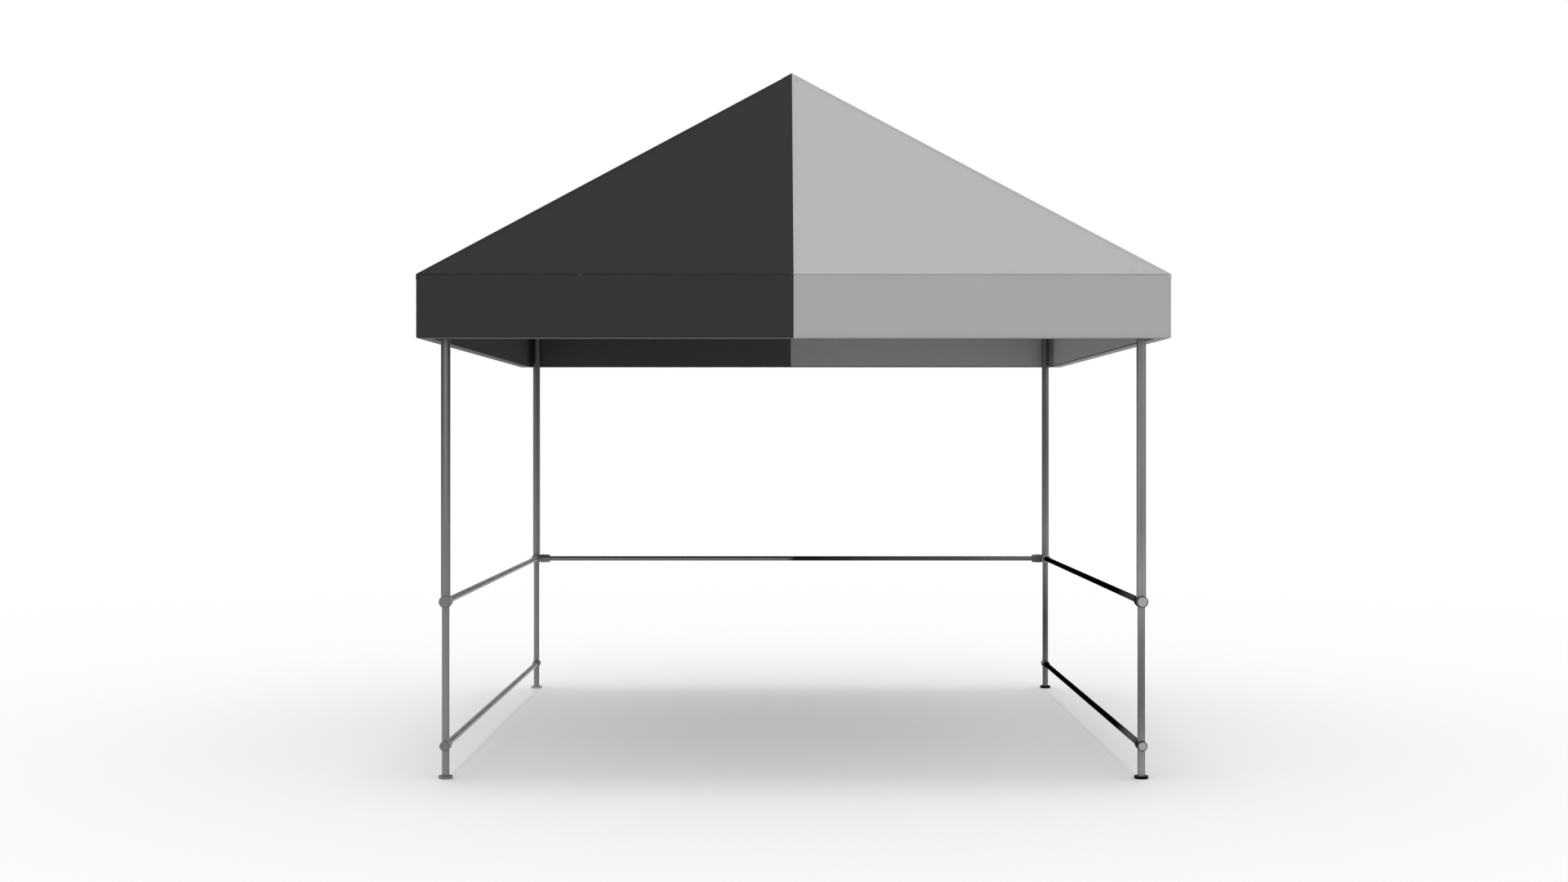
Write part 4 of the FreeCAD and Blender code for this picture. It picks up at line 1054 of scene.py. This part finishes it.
# ----------------------------------------------------------- valance cloth
# A station is (run, place): the run is front, front_corner, side, back_corner or
# back; the place is y on the side run and distance from the middle on the ends.
STATION_STEP = 0.025
NOTCH_EDGE = BOX_IN - 0.0245            # station at the edge of the corner notch


def wave(run_length, z):
    """Slight swell of the cloth, 0 at the folds."""
    k = (z - VALANCE_BOTTOM) / (EAVE - VALANCE_BOTTOM)
    k = max(0.0, min(1.0, k))
    long_wave = 0.0006 * math.sin(run_length * 8.6 + 1.3)
    short_wave = 0.0004 * math.sin(run_length * 21.0 + 0.4)
    return math.sin(math.pi * k) * (long_wave + short_wave)


def wave_fade(place):
    """No waviness close to a corner, all of it 150 mm further along."""
    return max(0.0, min(1.0, (BOX_IN - 0.028 - abs(place)) / 0.15))


def run_length(run, place):
    """Length round one half from the front centre."""
    return {"front": place, "front_corner": HALF, "side": 2 * HALF + place,
            "back_corner": 3 * HALF, "back": 4 * HALF - place}[run]


def outer_reach(run, place, z):
    """Reach of the wavy outer face."""
    return OUTER + wave(run_length(run, place), z) * wave_fade(place)


def make_stations():
    """Even stations round one half, and extra ones so the corners are crisp."""
    extra = [BOX_IN - 0.028, NOTCH_EDGE, HALF - 0.006, HALF - 0.002]
    half = [i * STATION_STEP for i in range(int(HALF / STATION_STEP))] + extra
    whole = [-HALF + STATION_STEP * (i + 1) for i in range(int(2 * HALF / STATION_STEP) - 1)]
    whole += extra + [-place for place in extra]
    stations = []
    for run, places in (("front", sorted(half)), ("front_corner", [0.0]),
                        ("side", sorted(whole)), ("back_corner", [0.0]),
                        ("back", sorted(half, reverse=True))):
        kept = []
        for place in places:
            if not kept or abs(kept[-1] - place) >= 0.0012:
                kept.append(place)
        stations += [(run, place) for place in kept]
    return stations


def is_corner(station):
    return station[0].endswith("corner")


def beside_corner(station):
    return not is_corner(station) and abs(station[1]) > BOX_IN - 0.026


STATIONS = make_stations()
OPEN_STATIONS = [s for s in STATIONS if not beside_corner(s)]
TAPE_STATIONS = [s for s in STATIONS
                 if not beside_corner(s) or abs(abs(s[1]) - NOTCH_EDGE) <= 0.0015]


def station_point(station, sx, reach, z):
    run, place = station
    if run in ENDS:
        return (sx * min(place, reach), ENDS[run] * reach, z)
    if run == "side":
        return (sx * reach, max(-reach, min(reach, place)), z)
    return (sx * reach, -reach if run == "front_corner" else reach, z)


def sweep_stations(name, stations, sx, section, mat):
    """Sweep a closed section of (reach, z) points past the stations."""
    loops = [[station_point(s, sx, reach, z) for reach, z in section] for s in stations]
    return sweep(name, loops, mat)


LINING_STEPS = 8


def valance_section(notched):
    """Line of the valance from the top of the lining, down, under and up the outer
    face to the tuck under the roof: (reach, z, wave: -1 lining, 1 outer face)."""
    top = LINING_TOP - (0.042 if notched else 0.0)
    inner = BOX_IN + 0.0006
    low = UNDERSIDE
    fold = 0.003                        # radius of the two lower folds
    tuck = EAVE - 0.0028
    points = [(inner, z, -1) for z in steps(top, low + 0.004, LINING_STEPS)]
    for degrees in (30, 60, 90):
        a = math.radians(degrees)
        points.append((inner + fold * (1 - math.cos(a)), low + fold * (1 - math.sin(a)), 0))
    points += [(reach, low, 0) for reach in steps(inner + fold, OUTER - fold, 5)[1:-1]]
    for degrees in (0, 30, 60, 90):
        a = math.radians(degrees)
        points.append((OUTER - fold * (1 - math.sin(a)), low + fold * (1 - math.cos(a)), 0))
    points += [(OUTER, z, 1) for z in steps(low + fold, tuck, 11)[1:]]
    points.append((OUTER - 0.0012, tuck + 0.0008, 0))
    points.append((OUTER - 0.006, tuck + 0.0009, 0))
    points.append((OUTER - 0.022, tuck + 0.0009, 0))
    return points


def valance_sheet(side):
    sx = SIDES[side]
    verts, uvs = [], []
    for station in STATIONS:
        section = valance_section(is_corner(station) or beside_corner(station))
        run = run_length(*station)
        fade = 0.0 if is_corner(station) else wave_fade(station[1])
        along = 0.0
        previous = section[0]
        for point in section:
            reach, z, waved = point
            along += math.hypot(reach - previous[0], z - previous[1])
            previous = point
            if waved > 0:
                reach += wave(run, z) * fade
            elif waved < 0:
                reach -= 0.6 * wave(run + 3.1, z) * fade
            verts.append(station_point(station, sx, reach, z))
            uvs.append((run, along))
    columns = len(valance_section(False))
    lining_faces = LINING_STEPS + 1
    face_mats = [1 if c < lining_faces else 0 for c in range(columns - 1)]
    sheet = make_object("valance_sheet_" + side, verts, grid(len(STATIONS), columns), uvs,
                        [VALANCE[side], LINING[side]], face_mats * (len(STATIONS) - 1))
    weld(sheet, 5e-6, tidy=False)
    # the outer face must look outwards
    outer = [p for p in sheet.data.polygons
             if abs(p.normal.x) > 0.9 and abs(p.center.x) > HALF - 0.002]
    if sum(p.normal.x * sx * p.area for p in outer) < 0:
        sheet.data.flip_normals()
    thicken(sheet, 0.0012)
    sharp_by_angle(sheet, 35)
    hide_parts("valance_" + side)
    hang(sheet)


def hem_tape(side):
    """Woven tape sewn under the box in two rows."""
    sx = SIDES[side]
    a, b, z = BOX_IN + 0.0034, HALF - 0.0026, UNDERSIDE
    face = z - 0.0013
    section = [(a, z + 0.0004), (a, z - 0.0008), (a + 0.001, face), ((a + b) / 2, face),
               (b - 0.001, face), (b, z - 0.0008), (b, z + 0.0004)]
    tape = sweep_stations("hem_tape_" + side, TAPE_STATIONS, sx, section, TAPE[side])
    hang(tape)
    for reach in (a + 0.004, b - 0.004):
        THREADS[side].row([station_point(s, sx, reach, face) for s in TAPE_STATIONS], (0, 0, -1))


def lining_shadow_piping(side):
    """Black piping along the inner lower fold: a black cord that paints the shadow line where the
    lining meets the underside.
    """
    radius = 0.0022
    section = []
    for k in range(8):
        a = math.radians(k * 45)
        section.append((BOX_IN + 0.0006 + radius * math.cos(a),
                        UNDERSIDE - 0.0002 + radius * math.sin(a)))
    piping = sweep_stations("lining_shadow_piping_" + side, TAPE_STATIONS, SIDES[side], section, SHADOW_LINE_PIPING)
    hang(piping)


def face_stitches(side):
    """Two rows low on the outer face and one under the eave."""
    sx = SIDES[side]
    for z in (VALANCE_BOTTOM + 0.010, VALANCE_BOTTOM + 0.017, EAVE - 0.011):
        for end in ENDS:
            row = [on_face(end, sx * x, outer_reach(end, x, z), z)
                   for x in steps(0.004, HALF - 0.006, 60)]
            THREADS[side].row(row, OUTWARD[end])
        row = [on_face(side, y, outer_reach("side", y, z), z)
               for y in steps(-(HALF - 0.006), HALF - 0.006, 120)]
        THREADS[side].row(row, OUTWARD[side])


def eave_backing(side):
    """Strip that closes the eave seam behind the gap."""
    a, b = HALF - 0.0030, HALF - 0.0045
    section = [(a, EAVE - 0.010), (a, EAVE - 0.0013), (b, EAVE - 0.0012), (b, EAVE - 0.010)]
    backing = sweep_stations("eave_seam_" + side, OPEN_STATIONS, SIDES[side], section,
                             LINING[side])
    hang(backing)


def valance_seams(side, end):
    """Centre seam down an end of the valance, and topstitch beside the corner."""
    sx = SIDES[side]
    normal = OUTWARD[end]
    edge = [on_face(end, sx * 0.0004, outer_reach(end, 0.0, z), z)
            for z in steps(VALANCE_BOTTOM + 0.004, EAVE - 0.005, 20)]
    far = [(sx * 0.011, y, z) for x, y, z in edge]
    name = "valance_seam_%s_%s" % (end, side)
    SEAMS[side].append(strip(name, edge, far, normal, 0.0007, VALANCE[side]))
    stitch_between(side, edge, far, (0.3, 0.78), normal, 0.0007)
    heights = steps(VALANCE_BOTTOM + 0.006, EAVE - 0.008, 10)
    beside = HALF - 0.008
    THREADS[side].row([on_face(end, sx * beside, OUTER, z) for z in heights], normal)
    THREADS[side].row([on_face(side, ENDS[end] * beside, OUTER, z) for z in heights],
                      OUTWARD[side])


for side in SIDES:
    valance_sheet(side)
    hem_tape(side)
    lining_shadow_piping(side)
    face_stitches(side)
    eave_backing(side)
    for end in ENDS:
        valance_seams(side, end)


# ---------------------------- straps that hold the lining to the frame tubes
def frame_strap(face, at, side):
    """Tape sewn to the lining, up and over the upper valance tube."""
    thick, half_width = 0.0012, 0.020
    inner, outer, top = BOX_IN - 0.0001, HALF - 0.0033, frame_high.z + 0.0013
    # (reach, z) from the lining, over the tube and down its outer side
    line = [(inner, LINING_TOP - 0.040), (inner, LINING_TOP - 0.015), (inner, top - 0.004),
            (inner + 0.0012, top - 0.0012), (inner + 0.004, top),
            ((inner + outer) / 2, top + 0.0006), (outer - 0.004, top),
            (outer - 0.0012, top - 0.0012), (outer, top - 0.004), (outer, top - 0.030)]
    bevel = half_width - 0.0015
    # (across, out of the line)
    section = [(-half_width, 0.0), (-half_width, thick), (-bevel, thick + 0.0002),
               (bevel, thick + 0.0002), (half_width, thick), (half_width, 0.0)]
    loops = []
    for i, (reach, z) in enumerate(line):
        before = line[max(0, i - 1)]
        after = line[min(len(line) - 1, i + 1)]
        dr, dz = after[0] - before[0], after[1] - before[1]
        size = math.hypot(dr, dz)
        loops.append([on_face(face, at + u, reach - dz / size * out, z + dr / size * out)
                      for u, out in section])
    strap = sweep("strap", loops, TAPE[side])

    # stitched square with a cross in it
    u = half_width - 0.003
    low, high = LINING_TOP - 0.038, LINING_TOP - 0.010
    corners = [on_face(face, at + du, inner - thick - 0.0002, z)
               for du, z in ((-u, low), (u, low), (u, high), (-u, high))]
    for i, j in ((0, 1), (1, 2), (2, 3), (3, 0), (0, 2), (1, 3)):
        THREADS[side].row([corners[i], corners[j]], -OUTWARD[face], pitch=0.0042, length=0.0032)
    return strap


STRAP_PLACES = (0.36, 1.06)             # distances from the middle of a run

for side, sx in SIDES.items():
    straps = []
    for place in STRAP_PLACES:
        for end in ENDS:
            straps.append(frame_strap(end, sx * place, side))
    for place in (-1.06, -0.36, *STRAP_PLACES):
        straps.append(frame_strap(side, place, side))
    hang(join("frame_straps_" + side, straps))
    hang(join("seams_and_patches_" + side, SEAMS[side]))

for side, thread in THREADS.items():
    stitching = make_object("stitching_" + side, thread.verts, thread.faces, thread.uvs,
                            [THREAD[side]])
    hang(stitching)


# ---------------------------------------------------- ties round the rafters
def rafter_tie(centre, axis, mat):
    """Open ring of tape round a rafter, with its gap on top."""
    radius, width, thick = 0.016, 0.030, 0.0014
    half_gap = 8                        # degrees
    count = 40
    up = Vector((0, 0, 1)) - axis * axis.z
    up.normalize()
    right = axis.cross(up)
    edge = axis * width / 2
    shoulder = axis * (width / 2 - 0.0006)
    loops = []
    for k in range(count + 1):
        a = math.radians(90 + half_gap + (360 - 2 * half_gap) * k / count)
        out = right * math.cos(a) + up * math.sin(a)
        wobble = 0.0002 * math.sin(k * 1.7)
        p = centre + out * (radius + thick + wobble)
        q = centre + out * (radius + 0.0002)
        crown = out * 0.0003
        loops.append([p - edge, p - shoulder + crown, p + shoulder + crown, p + edge,
                      q + edge, q - edge])
    return sweep("rafter_tie", loops, mat)


for side, sx in SIDES.items():
    ties = []
    for sy in ENDS.values():
        axis = hip_direction(sx, sy)
        rafter_foot = Vector((sx * HALF, sy * HALF, EAVE - 0.026))
        for distance in (0.62, 1.20, 1.80):
            ties.append(rafter_tie(rafter_foot + axis * distance, axis, TAPE[side]))
    hang(join("rafter_ties_" + side, ties))


# -------------------------------------------------------- stage and camera
def floor_material():
    """Pale floor that, as the camera sees it, fades to white far out."""
    shader = Shader("studio_floor")
    place = shader.node("NewGeometry").outputs["Position"]
    distance = shader.node("VectorMath", operation="LENGTH")
    shader.feed(distance.inputs[0], shader.mapping(place, scale=(1, 1, 0)))
    far = shader.map_range(distance.outputs["Value"], 3.5, 13.0,
                           interpolation_type="SMOOTHSTEP")
    camera_ray = shader.node("LightPath").outputs["Is Camera Ray"]
    grain = shader.noise(place, scale=120.0, detail=3.0)
    bounce = shader.blend(grain, 0.735, 0.765)
    seen = shader.blend(grain, 0.963, 0.988)
    shader.finish(shader.mix(camera_ray, bounce, seen), roughness=0.9, specular=0.1)
    glow = shader.node("Emission")
    glow.inputs["Color"].default_value = (1, 1, 1, 1)
    glow.inputs["Strength"].default_value = 1.0
    mix = shader.node("MixShader")
    shader.feed(mix.inputs[0], shader.math("MULTIPLY", far, camera_ray))
    shader.feed(mix.inputs[1], shader.principled.outputs[0])
    shader.feed(mix.inputs[2], glow.outputs[0])
    shader.feed(shader.output.inputs[0], mix.outputs[0])
    return shader.material


def add_floor():
    s = 80.0                            # half the width of the floor
    floor = make_object("floor", [(-s, -s, 0), (s, -s, 0), (s, s, 0), (-s, s, 0)],
                        [(0, 1, 2, 3)], mats=[floor_material()])


def add_world():
    """White backdrop for the camera, a little dimmer as a light."""
    world = bpy.data.worlds.new("studio")
    bpy.context.scene.world = world
    world.use_nodes = True
    nodes, links = world.node_tree.nodes, world.node_tree.links
    nodes.clear()
    output = nodes.new("ShaderNodeOutputWorld")
    mix = nodes.new("ShaderNodeMixShader")
    light_path = nodes.new("ShaderNodeLightPath")
    links.new(light_path.outputs["Is Camera Ray"], mix.inputs[0])
    for socket, strength in ((mix.inputs[1], 0.88), (mix.inputs[2], 1.0)):
        background = nodes.new("ShaderNodeBackground")
        background.inputs["Color"].default_value = (1, 1, 1, 1)
        background.inputs["Strength"].default_value = strength
        links.new(background.outputs[0], socket)
    links.new(mix.outputs[0], output.inputs[0])


def add_sun():
    sun = bpy.data.lights.new("overhead", "SUN")
    sun.energy = 0.45
    sun.angle = math.radians(22)
    obj = bpy.data.objects.new("overhead", sun)
    obj.rotation_euler = (math.radians(-4), 0, 0)
    bpy.context.scene.collection.objects.link(obj)


def add_camera():
    """Level camera in front of the canopy, looking along +Y."""
    centre = (CAD_BOX[0] + CAD_BOX[1]) / 2
    camera = bpy.data.cameras.new("camera")
    camera.sensor_width = 36.0
    camera.lens = 43.456
    camera.clip_start = 0.05
    camera.clip_end = 500.0
    obj = bpy.data.objects.new("camera", camera)
    obj.location = (centre.x - 0.038, centre.y - 9.019, 1.358)
    obj.rotation_euler = (math.radians(90), 0, 0)
    bpy.context.scene.collection.objects.link(obj)
    bpy.context.scene.camera = obj


add_floor()
add_world()
add_sun()
add_camera()
view = bpy.context.scene.view_settings
view.view_transform = "Standard"
view.look = "None"
view.exposure = 0.0
view.gamma = 1.0
